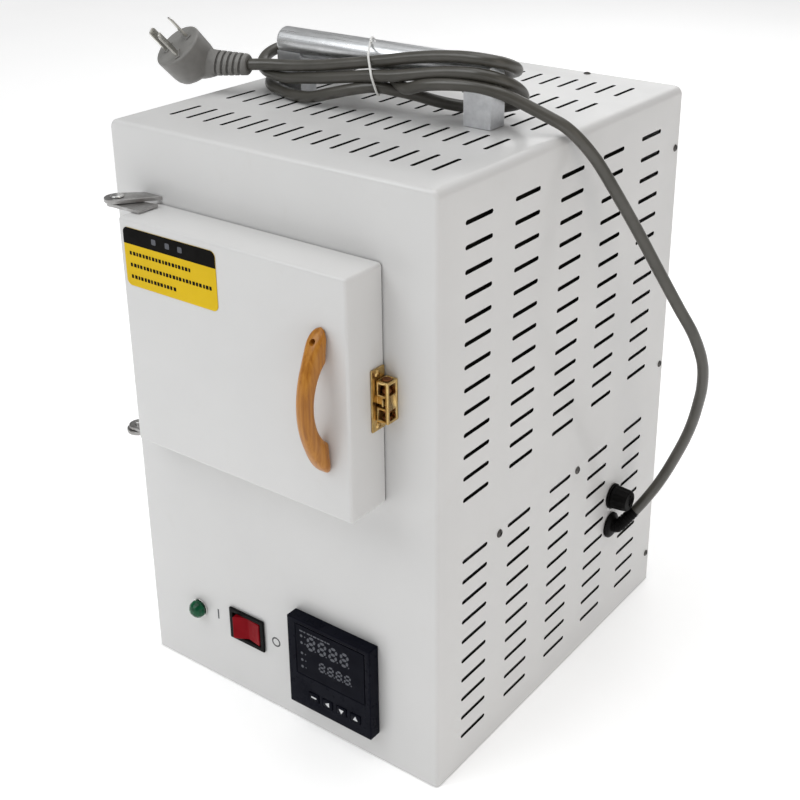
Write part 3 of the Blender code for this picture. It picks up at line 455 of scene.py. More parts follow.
def round_edges(shape, radius, segments, chosen=None):
    edges = [e for e in shape.edges if chosen is None or chosen(e)]
    bmesh.ops.bevel(shape, geom=edges, offset=radius * MM, segments=segments,
                    profile=0.5, affect="EDGES", clamp_overlap=True)


def rotation(axis):
    return Vector((0, 0, 1)).rotation_difference(Vector(axis)).to_matrix().to_4x4()


def spun(profile, start, axis, sides=32):
    """A body of revolution from (radius, height) pairs, as a bmesh."""
    shape = bmesh.new()
    points = [(0.0, profile[0][1]), *profile, (0.0, profile[-1][1])]
    verts = [shape.verts.new((r * MM, 0, h * MM)) for r, h in points]
    for first, second in zip(verts, verts[1:]):
        shape.edges.new((first, second))
    bmesh.ops.spin(shape, geom=shape.verts[:] + shape.edges[:], cent=(0, 0, 0),
                   axis=(0, 0, 1), angle=2 * math.pi, steps=sides, use_merge=True)
    bmesh.ops.remove_doubles(shape, verts=shape.verts, dist=1e-6)
    shape.transform(Matrix.Translation(Vector(start) * MM) @ rotation(axis))
    return shape


def outline_prism(outline, axis, low, high):
    """A flat outline extruded along an axis, as a bmesh."""
    index = "XYZ".index(axis)
    shape = bmesh.new()
    ends = []
    for height in (low, high):
        loop = []
        for pair in outline:
            point = list(pair)
            point.insert(index, height)
            loop.append(shape.verts.new(Vector(point) * MM))
        ends.append(loop)
    shape.faces.new(ends[0])
    shape.faces.new(list(reversed(ends[1])))
    count = len(outline)
    for i in range(count):
        j = (i + 1) % count
        shape.faces.new((ends[0][j], ends[0][i], ends[1][i], ends[1][j]))
    return shape


def decal(name, outlines, depth, finish, body="case"):
    """Flat (x, z) outlines as one thin print between two depths."""
    shape = merged([outline_prism(outline, "Y", *depth) for outline in outlines])
    from_shape(name, shape, finish, body, (), 30)


def arc(centre, radius, start, end, steps):
    turns = [math.radians(start + (end - start) * i / steps) for i in range(steps + 1)]
    return [(centre[0] + radius * math.cos(t), centre[1] + radius * math.sin(t))
            for t in turns]


def rounded_rectangle(low, high, radius, steps=5):
    inner = ((high[0] - radius, high[1] - radius), (low[0] + radius, high[1] - radius),
             (low[0] + radius, low[1] + radius), (high[0] - radius, low[1] + radius))
    return [p for i, c in enumerate(inner)
            for p in arc(c, radius, 90 * i, 90 * i + 90, steps)]


def pad(x, z, half_x, half_z, radius, steps=5):
    return rounded_rectangle((x - half_x, z - half_z), (x + half_x, z + half_z),
                             radius, steps)


def inset_outline(low, high, inset, radius, steps=5):
    return rounded_rectangle((low.x + inset, low.z + inset),
                             (high.x - inset, high.z - inset), radius, steps)


def merged(shapes):
    """One bmesh out of many."""
    whole = bmesh.new()
    for shape in shapes:
        mesh = bpy.data.meshes.new("part")
        shape.to_mesh(mesh)
        shape.free()
        whole.from_mesh(mesh)
        bpy.data.meshes.remove(mesh)
    return whole


def carve(obj, shape):
    """Cuts a bmesh out of an object and applies the result."""
    bmesh.ops.recalc_face_normals(shape, faces=shape.faces)
    mesh = bpy.data.meshes.new("cutter")
    shape.to_mesh(mesh)
    shape.free()
    tool = add_object("cutter", mesh)
    change = obj.modifiers.new("cut", "BOOLEAN")
    change.operation, change.solver, change.object = "DIFFERENCE", "EXACT", tool
    settle(obj)
    bpy.data.objects.remove(tool)


def settle(obj):
    """Applies an object's modifiers."""
    graph = bpy.context.evaluated_depsgraph_get()
    mesh = bpy.data.meshes.new_from_object(obj.evaluated_get(graph))
    obj.modifiers.clear()
    old, obj.data = obj.data, mesh
    bpy.data.meshes.remove(old)


def refined(node, finish, width=0.4, segments=2, body="case", angle=30.0):
    """A CAD node's own shape with its sharp edges eased."""
    shape = bmesh.new()
    shape.from_mesh(NODES[node].data)
    bmesh.ops.remove_doubles(shape, verts=shape.verts, dist=2e-6)
    bmesh.ops.dissolve_limit(shape, angle_limit=math.radians(1.5), verts=shape.verts,
                             edges=shape.edges)
    made = from_shape("fine_" + node, shape, finish, body, (node,), angle)
    ease = made.modifiers.new("ease", "BEVEL")
    ease.width, ease.segments = width * MM, segments
    ease.limit_method, ease.angle_limit = "ANGLE", math.radians(angle)
    ease.harden_normals = True
    settle(made)
    return made


def blend(a, b, ta, tb, t):
    return a.lerp(b, (t - ta) / (tb - ta))


def even_curve(points, spacing):
    """Evenly spaced points on a centripetal Catmull-Rom curve, in millimetres."""
    route = [Vector(p) for p in points]
    route = [2 * route[0] - route[1], *route, 2 * route[-1] - route[-2]]
    fine = []
    for p0, p1, p2, p3 in zip(route, route[1:], route[2:], route[3:]):
        k = [0.0]
        for a, b in ((p0, p1), (p1, p2), (p2, p3)):
            k.append(k[-1] + (b - a).length ** 0.5)
        for i in range(12):
            t = k[1] + (k[2] - k[1]) * i / 12
            a1 = blend(p0, p1, k[0], k[1], t)
            a2 = blend(p1, p2, k[1], k[2], t)
            a3 = blend(p2, p3, k[2], k[3], t)
            fine.append(blend(blend(a1, a2, k[0], k[2], t),
                              blend(a2, a3, k[1], k[3], t), k[1], k[2], t))
    fine.append(route[-2])
    return spaced(fine, spacing)


def spaced(fine, spacing):
    """The same line with points at an even spacing."""
    along = [0.0]
    for a, b in zip(fine, fine[1:]):
        along.append(along[-1] + (b - a).length)
    count = max(2, round(along[-1] / spacing))
    made, k = [], 0
    for i in range(count + 1):
        stop = along[-1] * i / count
        while k < len(along) - 2 and along[k + 1] < stop:
            k += 1
        t = (stop - along[k]) / max(1e-9, along[k + 1] - along[k])
        made.append(fine[k].lerp(fine[k + 1], t))
    return made


def tube_curve(name, points, radius, finish, replaced=(), closed=False,
               resolution=3):
    """A round cord or wire as a curve of one spline."""
    data = bpy.data.curves.new(name, "CURVE")
    data.dimensions = "3D"
    data.bevel_depth = radius * MM
    data.bevel_resolution = resolution
    data.use_fill_caps = True
    spline = data.splines.new("POLY")
    spline.points.add(len(points) - 1)
    for target, place in zip(spline.points, points):
        target.co = (*(Vector(place) * MM), 1.0)
    spline.use_smooth = True
    spline.use_cyclic_u = closed
    return link(name, data, finish, "case", replaced)


def skin(rings, caps=True):
    """A skin over rings of points with the same count, as a bmesh."""
    shape = bmesh.new()
    loops = [[shape.verts.new(Vector(p) * MM) for p in ring] for ring in rings]
    count = len(loops[0])
    for lower, upper in zip(loops, loops[1:]):
        for i in range(count):
            j = (i + 1) % count
            shape.faces.new((lower[i], lower[j], upper[j], upper[i]))
    if caps:
        shape.faces.new(list(reversed(loops[0])))
        shape.faces.new(loops[-1])
    return shape


def ring_skin(rings):
    """A skin over closed rings whose last ring joins the first."""
    shape = skin(rings + rings[:1], caps=False)
    bmesh.ops.remove_doubles(shape, verts=shape.verts, dist=1e-7)
    return shape


def circle(centre, normal, across, radius, flat=1.0):
    side = (across - normal * across.dot(normal)).normalized()
    other = normal.cross(side) * flat
    turns = [2 * math.pi * i / 28 for i in range(28)]
    return [centre + (side * math.cos(t) + other * math.sin(t)) * radius
            for t in turns]


# ---- cord and plug

GLAND_EXIT = (136.8, 77.0, 89.5)
PLUG_NECK = Vector((-102.6, -48.0, 437.9))
PLUG_LEAD = Vector((-0.958, -0.283, -0.026)).normalized()
PLUG_FACING = Vector((-0.177, -0.631, 0.753)).normalized()
PLUG_ACROSS = Vector((0.7275, 0.4285, 0.5316)).normalized()
RELIEF_LENGTH = 26.0
TIE_X = 4.0


def post_turn(levels, centre, radius):
    """The cord's turn round the left post, from the back to the front."""
    places = arc(centre, radius, 90, 270, len(levels) - 1)
    return [(x, y, z) for (x, y), z in zip(places, levels)]


FREE_LENGTH = [
    GLAND_EXIT, (139.3, 77.8, 90.2), (142.3, 81.2, 94.0), (145.3, 85, 98.4),
    (148.5, 88.5, 102.8), (154.3, 92.5, 112.6), (160, 96, 123.3), (165.5, 98.4, 135.3),
    (171.5, 97.8, 149), (180, 95.3, 169.3), (187.2, 90.8, 189), (192.5, 86, 208),
    (196.3, 81.2, 224), (198.4, 73.5, 246), (194.5, 64.5, 269), (185.8, 53.9, 292.5),
    (175.2, 41.3, 321), (163.9, 27, 352.5), (154.4, 12.2, 380.5), (146.8, 1.2, 400.8),
    (139.8, -8.6, 415), (131.8, -13.6, 423.4), (123.5, -17.8, 428.4),
    (113.8, -22.3, 433.6), (103.5, -28.5, 439.5),
]
FIRST_RUN = [
    (94, -34.5, 444), (82, -38.7, 446.4), (64, -42.3, 446.0), (46, -43.8, 443.4),
    (30, -42, 438.6), (20, -36.8, 439.6), (11, -34, 443.4), (-4, -28.5, 438.5),
    (-20, -19, 432.5), (-36, -9, 430), (-52, 1, 429), (-66, 7.5, 428.2),
]
LOW_TURN = post_turn((427.5, 426.5, 425.5, 424.5, 423.5, 422.4, 421.4), (-80, -15), 24)
SECOND_RUN = [
    (-66, -43.5, 421.2), (-48, -46, 422.6), (-28, -46.2, 428.2), (-10, -44.5, 433.2),
    (4, -41, 435.8), (16, -36, 434.4), (27, -27, 430.8), (39, -17.5, 426.2),
    (51, -9, 423.4), (64, -3, 422.8), (77, 1, 425), (88, 0.2, 428.5),
    (95.7, -5.5, 434.4), (99, -14, 441), (97.6, -24, 447.3), (92, -32, 451.8),
    (83.5, -37, 454), (72, -38.7, 453.8), (56, -39.6, 452.0), (38, -41, 448.8),
    (20, -42.4, 445.5), (2, -43.2, 443.2), (-18, -43.8, 439.8), (-36, -44, 436.8),
    (-56, -43.5, 434), (-70, -42.5, 432),
]
HIGH_TURN = post_turn((443.4, 444.2, 443.4, 441, 437.5, 434, 432), (-84, -16), 25)
THIRD_RUN = [
    (-62, 9.3, 442.2), (-30, 9.3, 441.2), (0, 9.3, 441.2), (28, 9.0, 442),
    (52, 8.3, 443.4), (67, 6.5, 445), (79, 3.2, 447.3), (87.5, -2, 450),
    (92.6, -9, 453.3), (94, -17, 456.8), (92.3, -25.3, 460), (86.5, -32.2, 462.2),
    (78, -34.5, 462.8), (67, -35.2, 462.4), (50, -35.8, 460.6), (30, -36.9, 457.4),
    (4, -38.8, 452.2), (-22, -40.5, 447.5), (-42, -41.3, 444), (-66, -42.5, 441),
    (-88.5, -45, 439.3), tuple(PLUG_NECK),
]


def make_cord():
    route = (FREE_LENGTH + FIRST_RUN + LOW_TURN + SECOND_RUN
             + list(reversed(HIGH_TURN)) + THIRD_RUN)
    line = even_curve(route, 2.5)
    length = sum((b - a).length for a, b in zip(line, line[1:])) * MM
    cord = tube_curve("power_cord", line, CORD_RADIUS, "grey_cord",
                      replaced=("mains_cord", "cord_hank"), resolution=6)
    return cord, line, length


def make_relief(line):
    """Slim tapered sleeve that follows the cord out of the gland."""
    rings = []
    across = Vector((0, 0, 1))
    path = [Vector(GLAND_EXIT) + Vector((x, 0, 0)) for x in (-6.0, -3.0, -1.0)]
    path += line[:9]
    for i, centre in enumerate(path):
        ahead = path[min(i + 1, len(path) - 1)]
        normal = (ahead - path[max(i - 1, 0)]).normalized()
        radius = 5.3 - 0.9 * i / (len(path) - 1)
        rings.append(circle(centre, normal, across, radius))
        if 2 < i < len(path) - 1:
            for along, sink in ((0.55, 0.0), (0.62, 0.35), (0.85, 0.35), (0.92, 0.0)):
                rings.append(circle(centre.lerp(ahead, along), normal, across,
                                    radius - sink))
    from_shape("cord_relief", skin(rings), "black_plastic", smooth=50)


def plug_relief():
    """Tapered sleeve with five slanted grooves between the cord and the plug."""
    behind = PLUG_NECK - PLUG_LEAD
    rings = [circle(behind, PLUG_LEAD, PLUG_ACROSS, radius) for radius in (4.3, 6.4)]
    rings.append(circle(PLUG_NECK, PLUG_LEAD, PLUG_ACROSS, 7.4))
    tilt = (PLUG_LEAD + PLUG_FACING * 0.28).normalized()
    for i in range(5):
        base = 3.2 + 4.4 * i
        for offset, depth in ((0.0, 0.0), (0.35, 1.9), (1.6, 1.9), (1.95, 0.0)):
            radius = 7.6 + 0.065 * (base + offset) - depth
            rings.append(circle(PLUG_NECK + PLUG_LEAD * (base + offset), tilt,
                                PLUG_ACROSS, radius))
    return rings


def make_plug():
    """Moulded plug whose round head is turned up from the cord's direction."""
    start = PLUG_NECK + PLUG_LEAD * RELIEF_LENGTH
    elbow = start + PLUG_LEAD * 17
    face = elbow + PLUG_FACING * 17
    rings = plug_relief()
    for along, radius, sink in ((-1.2, 9.3, 0.2), (3, 10.2, 0.7), (8, 10.8, 1.2),
                                (14, 11.0, 1.3), (20, 11.0, 1.3)):
        rings.append(circle(start + PLUG_LEAD * along - PLUG_FACING * sink, PLUG_LEAD,
                            PLUG_ACROSS, radius, 0.94))
    profile = [(4.0, -9.6), (9.0, -9.2), (13.0, -8.0), (15.6, -6.0), (17.0, -3.0),
               (17.5, 0.5), (17.7, 6.0), (18.0, 15.6), (17.8, 16.4), (17.2, 16.9),
               (16.4, 17.0), (15.6, 16.7), (13.0, 16.6)]
    head = spun(profile, elbow, PLUG_FACING, 56)
    plug = from_shape("moulded_plug", merged([skin(rings), head]), "plug",
                      replaced=("plug_body",), smooth=42)
    collars = []
    earth = -PLUG_FACING.cross(PLUG_ACROSS)
    pins = (("plug_pin_live", -8.0, -4.3, -30.0), ("plug_pin_neutral", 8.0, -4.3, 30.0),
            ("plug_pin_earth", 0.0, 10.3, 0.0))
    for node, across, down, slant in pins:
        refined(node, "pin", 0.3)
        centre = face + PLUG_ACROSS * across + earth * down
        turn = Matrix.Rotation(math.radians(slant), 3, PLUG_FACING)
        wide, thin = turn @ earth, turn @ PLUG_ACROSS
        rings = []
        for height, grow in ((-0.7, 1.2), (0.3, 1.2), (0.6, 0.8), (0.6, 0.2)):
            middle = centre + PLUG_FACING * height
            a, b = wide * (3.2 + grow), thin * (0.8 + grow)
            rings.append([middle + a + b, middle - a + b, middle - a - b,
                          middle + a - b])
        collars.append(skin(rings))
    from_shape("plug_pin_collars", merged(collars), "plug", smooth=20)
    return plug


def hull(points):
    """Convex outline of flat points, anticlockwise."""
    def half(ordered):
        chain = []
        for p in ordered:
            while len(chain) > 1 and (
                    (chain[-1][0] - chain[-2][0]) * (p[1] - chain[-2][1])
                    - (chain[-1][1] - chain[-2][1]) * (p[0] - chain[-2][0])) <= 0:
                chain.pop()
            chain.append(p)
        return chain[:-1]
    ordered = sorted(set(points))
    return half(ordered) + half(ordered[::-1])


def make_tie(line):
    """Thin wire tie drawn tight round the grip and the cord's runs."""
    grip_low, grip_high, centre = placed("carry_handle_grip")
    circles = [(centre.y, centre.z, (grip_high.z - grip_low.z) / 2)]
    for a, b in zip(line, line[1:]):
        if (a.x - TIE_X) * (b.x - TIE_X) <= 0 and a.z > ROOF and a.y < 0:
            circles.append((a.y, a.z, CORD_RADIUS))
    cloud = []
    for y, z, radius in circles:
        cloud += [(round(p, 3), round(q, 3)) for p, q in
                  arc((y, z), radius + 0.8, 0, 360, 24)]
    outline = [Vector((0.0, y, z)) for y, z in hull(cloud)]
    outline = spaced(outline + outline[:1], 2.0)[:-1]
    front = min(point.y for point in outline)
    for point in outline:
        point.x = TIE_X + 0.32 * (centre.z - point.z) - 0.55 * (point.y - front)
    tube_curve("wire_tie", outline, 0.8, "white_plastic", replaced=("cord_tie",),
               closed=True)
    knot = Vector((outline[0].x, centre.y + 4, centre.z + 10.0))
    top = min(outline, key=lambda p: (p - knot).length)
    twist = []
    for i in range(36):
        t = i / 35
        swing = 14 * t
        twist.append(top + Vector((1.1 * math.cos(swing), 9 * t,
                                   0.4 + 1.1 * math.sin(swing) - 3.5 * t * t)))
    tube_curve("wire_tie_twist", twist, 0.7, "white_plastic")


CORD, CORD_LINE, CORD_LENGTH = make_cord()
make_relief(CORD_LINE)
PLUG = make_plug()
make_tie(CORD_LINE)


# ---- case

def spread(group):
    count, first, last = group
    return [first + (last - first) * i / (count - 1) for i in range(count)]


def stadium(length, width, steps=6):
    half = (length - width) / 2
    return (arc((half, 0), width / 2, -90, 90, steps)
            + arc((-half, 0), width / 2, 90, 270, steps))


def slot_cutters():
    shapes = []
    flat = stadium(SLOT_LENGTH, SLOT_WIDTH)
    for sign in (-1, 1):
        low, high = sorted((sign * (SIDE - 4), sign * (SIDE + 4)))
        for y in SLOT_Y:
            for group in SLOT_ROWS:
                for z in spread(group):
                    outline = [(y + u, z + v) for u, v in flat]
                    shapes.append(outline_prism(outline, "X", low, high))
    for y in ROOF_SLOT_Y:
        for x in spread(ROOF_SLOTS):
            outline = [(x + v, y + u) for u, v in flat]
            shapes.append(outline_prism(outline, "Z", ROOF - 4, ROOF + 4))
    return shapes


def window_cutters():
    """Holes in the front for the chamber's mouth and the controls."""
    deep = (FRONT - 5, FRONT + 5)
    outlines = [pad(0.0, placed("chamber_lining")[2].z, *MOUTH_HALF, 2.0)]
    for node, inset in (("controller_housing", 2.0), ("switch_housing", 1.3)):
        low, high = span(node)
        outlines.append(inset_outline(low, high, inset, 1.0))
    centre = placed("pilot_lamp_body")[2]
    outlines.append(arc((centre.x, centre.z), 5.4, 0, 345, 23))
    shapes = [outline_prism(outline, "Y", *deep) for outline in outlines]
    for node in ("fuse_holder", "cord_gland"):
        centre = placed(node)[2]
        shapes.append(outline_prism(arc((centre.y, centre.z), 6.4, 0, 345, 23), "X",
                                    SIDE - 5, SIDE + 5))
    return shapes


def make_case():
    """Front, roof and sides as one welded and painted cover."""
    shape = cuboid((-SIDE, FRONT, 0), (SIDE, BACK, ROOF))
    top, front = ROOF * MM, FRONT * MM
    round_edges(shape, 6.0, 8, lambda e: at(e, 2, top) and (
        at(e, 0, SIDE * MM) or at(e, 0, -SIDE * MM)))
    round_edges(shape, 3.0, 5, lambda e: at(e, 1, front) and not at(e, 2, 0.0))
    open_up(shape, (2, 0.0), (1, BACK * MM))
    cover = from_shape("case_cover", shape, "case", replaced=(
        "front_panel", "top_panel", "left_side_panel", "right_side_panel"))
    # Second material: painted shade for the inner faces and the cut slot walls.
    cover.data.materials.append(FINISH["slot_shade"])
    thicken(cover, SHEET, any(abs(face.normal.x) > 0.99
                              and face.normal.x * face.center.x < 0
                              for face in cover.data.polygons))
    slots = merged(slot_cutters())
    # The slot walls get the painted shade as well.
    for face in slots.faces:
        face.material_index = 1
    carve(cover, merged([slots, *window_cutters()]))
    soften(cover.data, 30)


def screw(name, place, axis, radius=3.0, height=1.7, finish="chrome", body="case",
          turn=20.0, replaced=()):
    """Cross-head screw with a domed head."""
    profile = [(radius, 0.0), (radius, 0.25 * height), (0.86 * radius, 0.62 * height),
               (0.55 * radius, 0.9 * height), (0.3 * radius, height)]
    head = from_shape(name, spun(profile, (0, 0, 0), (0, 0, 1), 28), finish, body,
                      replaced, 50)
    arm, thick, deep = 0.58 * radius, 0.15 * radius, 0.55 * height
    for across in ((arm, thick), (thick, arm)):
        carve(head, cuboid((-across[0], -across[1], height - deep),
                           (across[0], across[1], height + 1)))
    head.data.transform(Matrix.Translation(Vector(place) * MM) @ rotation(axis)
                        @ Matrix.Rotation(math.radians(turn), 4, "Z"))


def make_case_screws():
    for sign, side in ((1, "right"), (-1, "left")):
        for i, z in enumerate(EDGE_SCREW_Z):
            screw(f"edge_screw_{side}_{i}", (sign * SIDE, REAR_EDGE, z), (sign, 0, 0),
                  2.6, 1.3, "dark_screw", turn=17 + 31 * i)
        screw(f"roof_screw_{side}", (sign * 57.3, 144.8, ROOF), (0, 0, 1), 2.6, 1.3,
              "dark_screw", turn=40 * sign)
    for i, node in enumerate(("shelf_screw_front", "shelf_screw_rear")):
        middle = placed(node)[2]
        screw("fine_" + node, (SIDE, middle.y, middle.z), (1, 0, 0), 2.9, 1.5,
              "dark_screw", turn=12 + 50 * i, replaced=(node,))


# ---- door

def make_door():
    shape = cuboid(DOOR_LOW, DOOR_HIGH)
    face, rear = DOOR_FACE * MM, DOOR_HIGH.y * MM
    round_edges(shape, 2.2, 4, lambda e: not at(e, 1, face) and not at(e, 1, rear))
    round_edges(shape, 3.8, 7, lambda e: at(e, 1, face))
    open_up(shape, (1, rear))
    door = from_shape("door_skin", shape, "case", "door", ("door_shell",))
    thicken(door, DOOR_SHEET, any(p.normal.y > 0.99 for p in door.data.polygons))
    soften(door.data, 30)


def make_seal():
    """Flat near-black gasket on the door's rim, in the gap to the case: partly the seal,
    partly painted shade of the gap.
    """
    depth = (DOOR_HIGH.y - 0.2, FRONT - 0.15)
    rings = []
    for inset, y in ((0.5, depth[0]), (0.5, depth[1]), (5.0, depth[1]), (5.0, depth[0])):
        outline = inset_outline(DOOR_LOW, DOOR_HIGH, inset, 1.5, 4)
        rings.append([(x, y, z) for x, z in outline])
    from_shape("door_seal_and_gap_shade", ring_skin(rings), "seal_and_gap_shade", "door", (), 30)


def make_pull():
    """Arched wooden pull with two long feet flat against the door."""
    middle = placed("door_handle")[2]
    half = 47.5
    reach, bow = 21.4, 0.56
    rings = []
    count = 64
    for i in range(count + 1):
        t = -1 + 2 * i / count
        # points crowd towards the rounded tips
        t = math.sin(t * math.pi / 2) * 0.35 + t * 0.65
        size = abs(t)
        outer = reach * max(0.0, math.cos(size * math.pi / 2)) ** 0.62
        inner = 12.2 * (1 - (size / bow) ** 2) ** 0.75 if size < bow else 0.0
        width = 5.1 + 0.9 * min(1.0, size / 0.8) ** 2
        if size > 0.82:
            tip = (size - 0.82) / 0.18
            width *= math.sqrt(max(0.0, 1 - tip ** 2)) * 0.985 + 0.015
        outer = max(outer, inner + 0.4)
        ring = []
        for k in range(24):
            turn = 2 * math.pi * k / 24
            u, v = math.cos(turn), math.sin(turn)
            u = math.copysign(abs(u) ** 0.82, u)
            v = math.copysign(abs(v) ** 0.82, v)
            centre, thick = (outer + inner) / 2, (outer - inner) / 2
            ring.append((middle.x + u * width, DOOR_FACE - 0.05 - centre - v * thick,
                         middle.z + t * half))
        rings.append(ring)
    pull = from_shape("wooden_pull", skin(rings), "wood", "door", ("door_handle",), 60)
    dimple_z = middle.z + 0.845 * half
    hole = spun([(1.2, 0), (1.6, 3), (2.6, 14)], (middle.x, DOOR_FACE - 1.6, dimple_z),
                (0, -1, 0.12), 20)
    carve(pull, hole)
    soften(pull.data, 50)
    screw("pull_screw", (middle.x, DOOR_FACE - 1.7, dimple_z), (0, -1, 0), 1.5, 0.9,
          "chrome", "door", 35)


def make_sticker():
    """Two-colour sticker with rows of blocks in place of its text."""
    low, high = span("caution_label")
    front, back = low.y, high.y
    outline = inset_outline(low, high, 0.0, 4.0, 8)
    sheet = outline_prism(outline, "Y", front + 0.1, back)
    from_shape("sticker_sheet", sheet, "label", "door", ("caution_label",), 30)
    band_low = high.z - 11.0
    band = ([(low.x, band_low)] + [(high.x, band_low)]
            + arc((high.x - 4, high.z - 4), 4, 0, 90, 8)
            + arc((low.x + 4, high.z - 4), 4, 90, 180, 8))
    print_depth = (front + 0.02, front + 0.09)
    decal("sticker_band", [band], print_depth, "label_black", "door")
    blocks = []
    for drop, length in ((17.0, 57.0), (25.0, 76.0), (33.0, 44.0)):
        x, i = low.x + 4.6, 0
        while x < low.x + length:
            width = (1.9, 2.3, 1.6, 2.2)[i % 4]
            blocks.append(rounded_rectangle((x, high.z - drop - 1.25),
                                            (x + width, high.z - drop + 1.25), 0.35, 2))
            x += width + (0.8 if i % 3 else 1.1)
            i += 1
    decal("sticker_lines", blocks, print_depth, "label_black", "door")
    marks = []
    for along in (27.5, 39.5, 50.5):
        marks.append(pad(low.x + along, high.z - 5.4, 1.9, 1.9, 0.8, 3))
    decal("sticker_marks", marks, (front - 0.03, front + 0.05), "segment", "door")


def make_catch():
    """Brass body with its tongue slot, and windows on two faces that show the
    balls and their springs."""
    low, high, middle = placed("catch_housing")
    _, ball_high, ball = placed("catch_ball_upper")
    ball_end = ball_high.z - middle.z
    tongue = span("catch_strike")
    shape = cuboid(low, high)
    round_edges(shape, 0.5, 3)
    body = from_shape("catch_body", shape, "brass", replaced=("catch_housing",))
    cutters = [cuboid((low.x - 5, low.y - 5, middle.z - 3.6),
                      (high.x - 1.6, high.y - 1.2, middle.z + 3.6))]
    springs = []
    for sign in (-1, 1):
        near, far = sorted((middle.z + sign * 2, middle.z + sign * 18))
        cutters.append(spun([(3.35, 0), (3.35, far - near)], (ball.x, ball.y, near),
                            (0, 0, 1), 28))
        near, far = sorted((middle.z + sign * 4.9, middle.z + sign * 11.8))
        cutters.append(cuboid((ball.x - 2.7, low.y - 5, near), (ball.x + 2.7, ball.y, far)))
        cutters.append(cuboid((ball.x, low.y + 1.7, near), (high.x + 5, ball.y + 2.9, far)))
        turns = [(2.6 + 0.5 * (i % 2), 0.5 * i) for i in range(9)]
        start = ball_end + BALL_TRAVEL + 0.2
        springs.append(spun(turns, (ball.x, ball.y, middle.z + sign * start),
                            (0, 0, sign), 24))
    for cutter in cutters:
        carve(body, cutter)
    from_shape("catch_springs", merged(springs), "bronze", smooth=30)
    rib = cuboid((tongue[1].x - 1.4, low.y - 0.25, middle.z - 2.3),
                 (tongue[1].x - 0.2, low.y + 2.0, middle.z + 2.3))
    round_edges(rib, 0.3, 2)
    from_shape("strike_lip", rib, "brass", "door")


def make_hardware():
    """Hinges, catch and strike plate, with eased edges."""
    for label in ("upper", "lower"):
        refined(f"{label}_hinge_bracket", "steel", 0.35)
        refined(f"{label}_hinge_leaf", "steel", 0.35, body="door")
        refined(f"{label}_hinge_pin", "chrome", 0.25)
    make_catch()
    refined("catch_strike", "brass", 0.25, body="door")
    for label, turn in (("upper", 10), ("lower", 65)):
        middle = placed(f"strike_screw_{label}")[2]
        screw(f"fine_strike_screw_{label}", (DOOR_HIGH.x + 1.25, middle.y, middle.z),
              (1, 0, 0), 2.5, 1.2, "brass", "door", turn,
              (f"strike_screw_{label}",))


# ---- controls

def make_lamp():
    centre = placed("pilot_lamp_lens")[2]
    start = (centre.x, FRONT - 1.9, centre.z)
    shape = spun([(6.3, 0.0), (6.8, 1.2), (6.6, 2.8), (5.7, 4.7), (4.0, 6.2),
                  (1.9, 7.0)], start, (0, -1, 0), 12)
    from_shape("lamp_lens", shape, "green_lens", replaced=("pilot_lamp_lens",), smooth=0)
    refined("pilot_lamp_body", "chrome", 0.3)


def make_switch():
    refined("switch_housing", "black_plastic", 0.7, 3)
    refined("switch_rocker", "red_plastic", 0.5, 3, body="rocker")
    low, high, middle = placed("switch_housing")
    front = (FRONT - 0.12, FRONT + 0.05)
    decal("on_mark", [pad(low.x - 13.2, middle.z, 0.6, 4.2, 0.5, 3)], front, "mark")
    centre = (high.x + 10.3, middle.z)
    outer, inner = arc(centre, 3.9, 0, 350, 35), arc(centre, 2.8, 0, 350, 35)
    rings = [[(x, y, z) for x, z in ring]
             for y, ring in ((front[1], outer), (front[0], outer),
                             (front[0], inner), (front[1], inner))]
    from_shape("off_mark", ring_skin(rings), "mark", smooth=30)


def digit_bars(x, z, width, height):
    """The seven bars of one figure, as leaning outlines on the display's plane."""
    half, gap, thick = height / 2, 0.06 * height, 0.11 * height

    def bar(low, high, level, upright):
        low, high = low + gap, high - gap
        flat = [(low, 0), (low + thick, thick), (high - thick, thick), (high, 0),
                (high - thick, -thick), (low + thick, -thick)]
        flat = [(level + b, a) if upright else (a, level + b) for a, b in flat]
        return [(x + u + 0.10 * v, z + v) for u, v in flat]

    bars = [bar(0, width, level, False) for level in (0, half, height)]
    for level in (0, width):
        bars += [bar(0, half, level, True), bar(half, height, level, True)]
    return bars


def make_controller():
    refined("controller_housing", "controller", 1.1, 3)
    refined("controller_window", "screen", 0.15)
    low, high = span("controller_window")
    plane = (low.y - 0.10, low.y + 0.05)
    shapes = []
    for x0, z0, width, height, pitch in (
            (30.6, 74.4, 5.4, 9.4, 9.7), (40.6, 60.4, 4.2, 6.6, 7.4)):
        for i in range(4):
            shapes += digit_bars(x0 + pitch * i, z0, width, height)
            dot = (x0 + pitch * i + width + 1.5, z0)
            shapes.append(arc(dot, 0.55, 0, 315, 7))
    decal("display_figures", shapes, plane, "segment")
    lamps = []
    for z in (82.6, 77.0, 68.4, 62.8, 57.2):
        lamps.append(arc((25.3, z), 1.1, 0, 330, 11))
        lamps.append(pad(28.45, z, 0.45, 0.5, 0.3, 2))
    decal("display_lamps", lamps, plane, "segment")
    dashes, x = [], low.x + 3.5
    for length in (3.0, 1.6, 0.0, 2.6, 1.4, 3.2, 2.0, 2.8, 1.5, 2.4):
        if length:
            dashes.append(rounded_rectangle((x, high.z - 4.6),
                                            (x + length, high.z - 3.5), 0.25, 2))
        x += length + 0.7
    decal("display_heading", dashes, plane, "segment")
    symbols = {
        "set": rounded_rectangle((-2.3, -0.6), (2.3, 0.6), 0.4, 2),
        "left": [(-1.9, 0.0), (1.5, 2.0), (1.5, -2.0)],
        "down": [(-2.1, 1.5), (2.1, 1.5), (0.0, -1.9)],
        "up": [(-2.1, -1.5), (0.0, 1.9), (2.1, -1.5)],
    }
    for key, outline in symbols.items():
        low, high, middle = placed("key_" + key)
        shifted = [(middle.x + u, middle.z + v) for u, v in outline]
        refined("key_" + key, "controller", 0.5, 2, body=key + "_key")
        decal(f"key_symbol_{key}", [shifted], (low.y - 0.08, low.y + 0.05), "print",
              key + "_key")


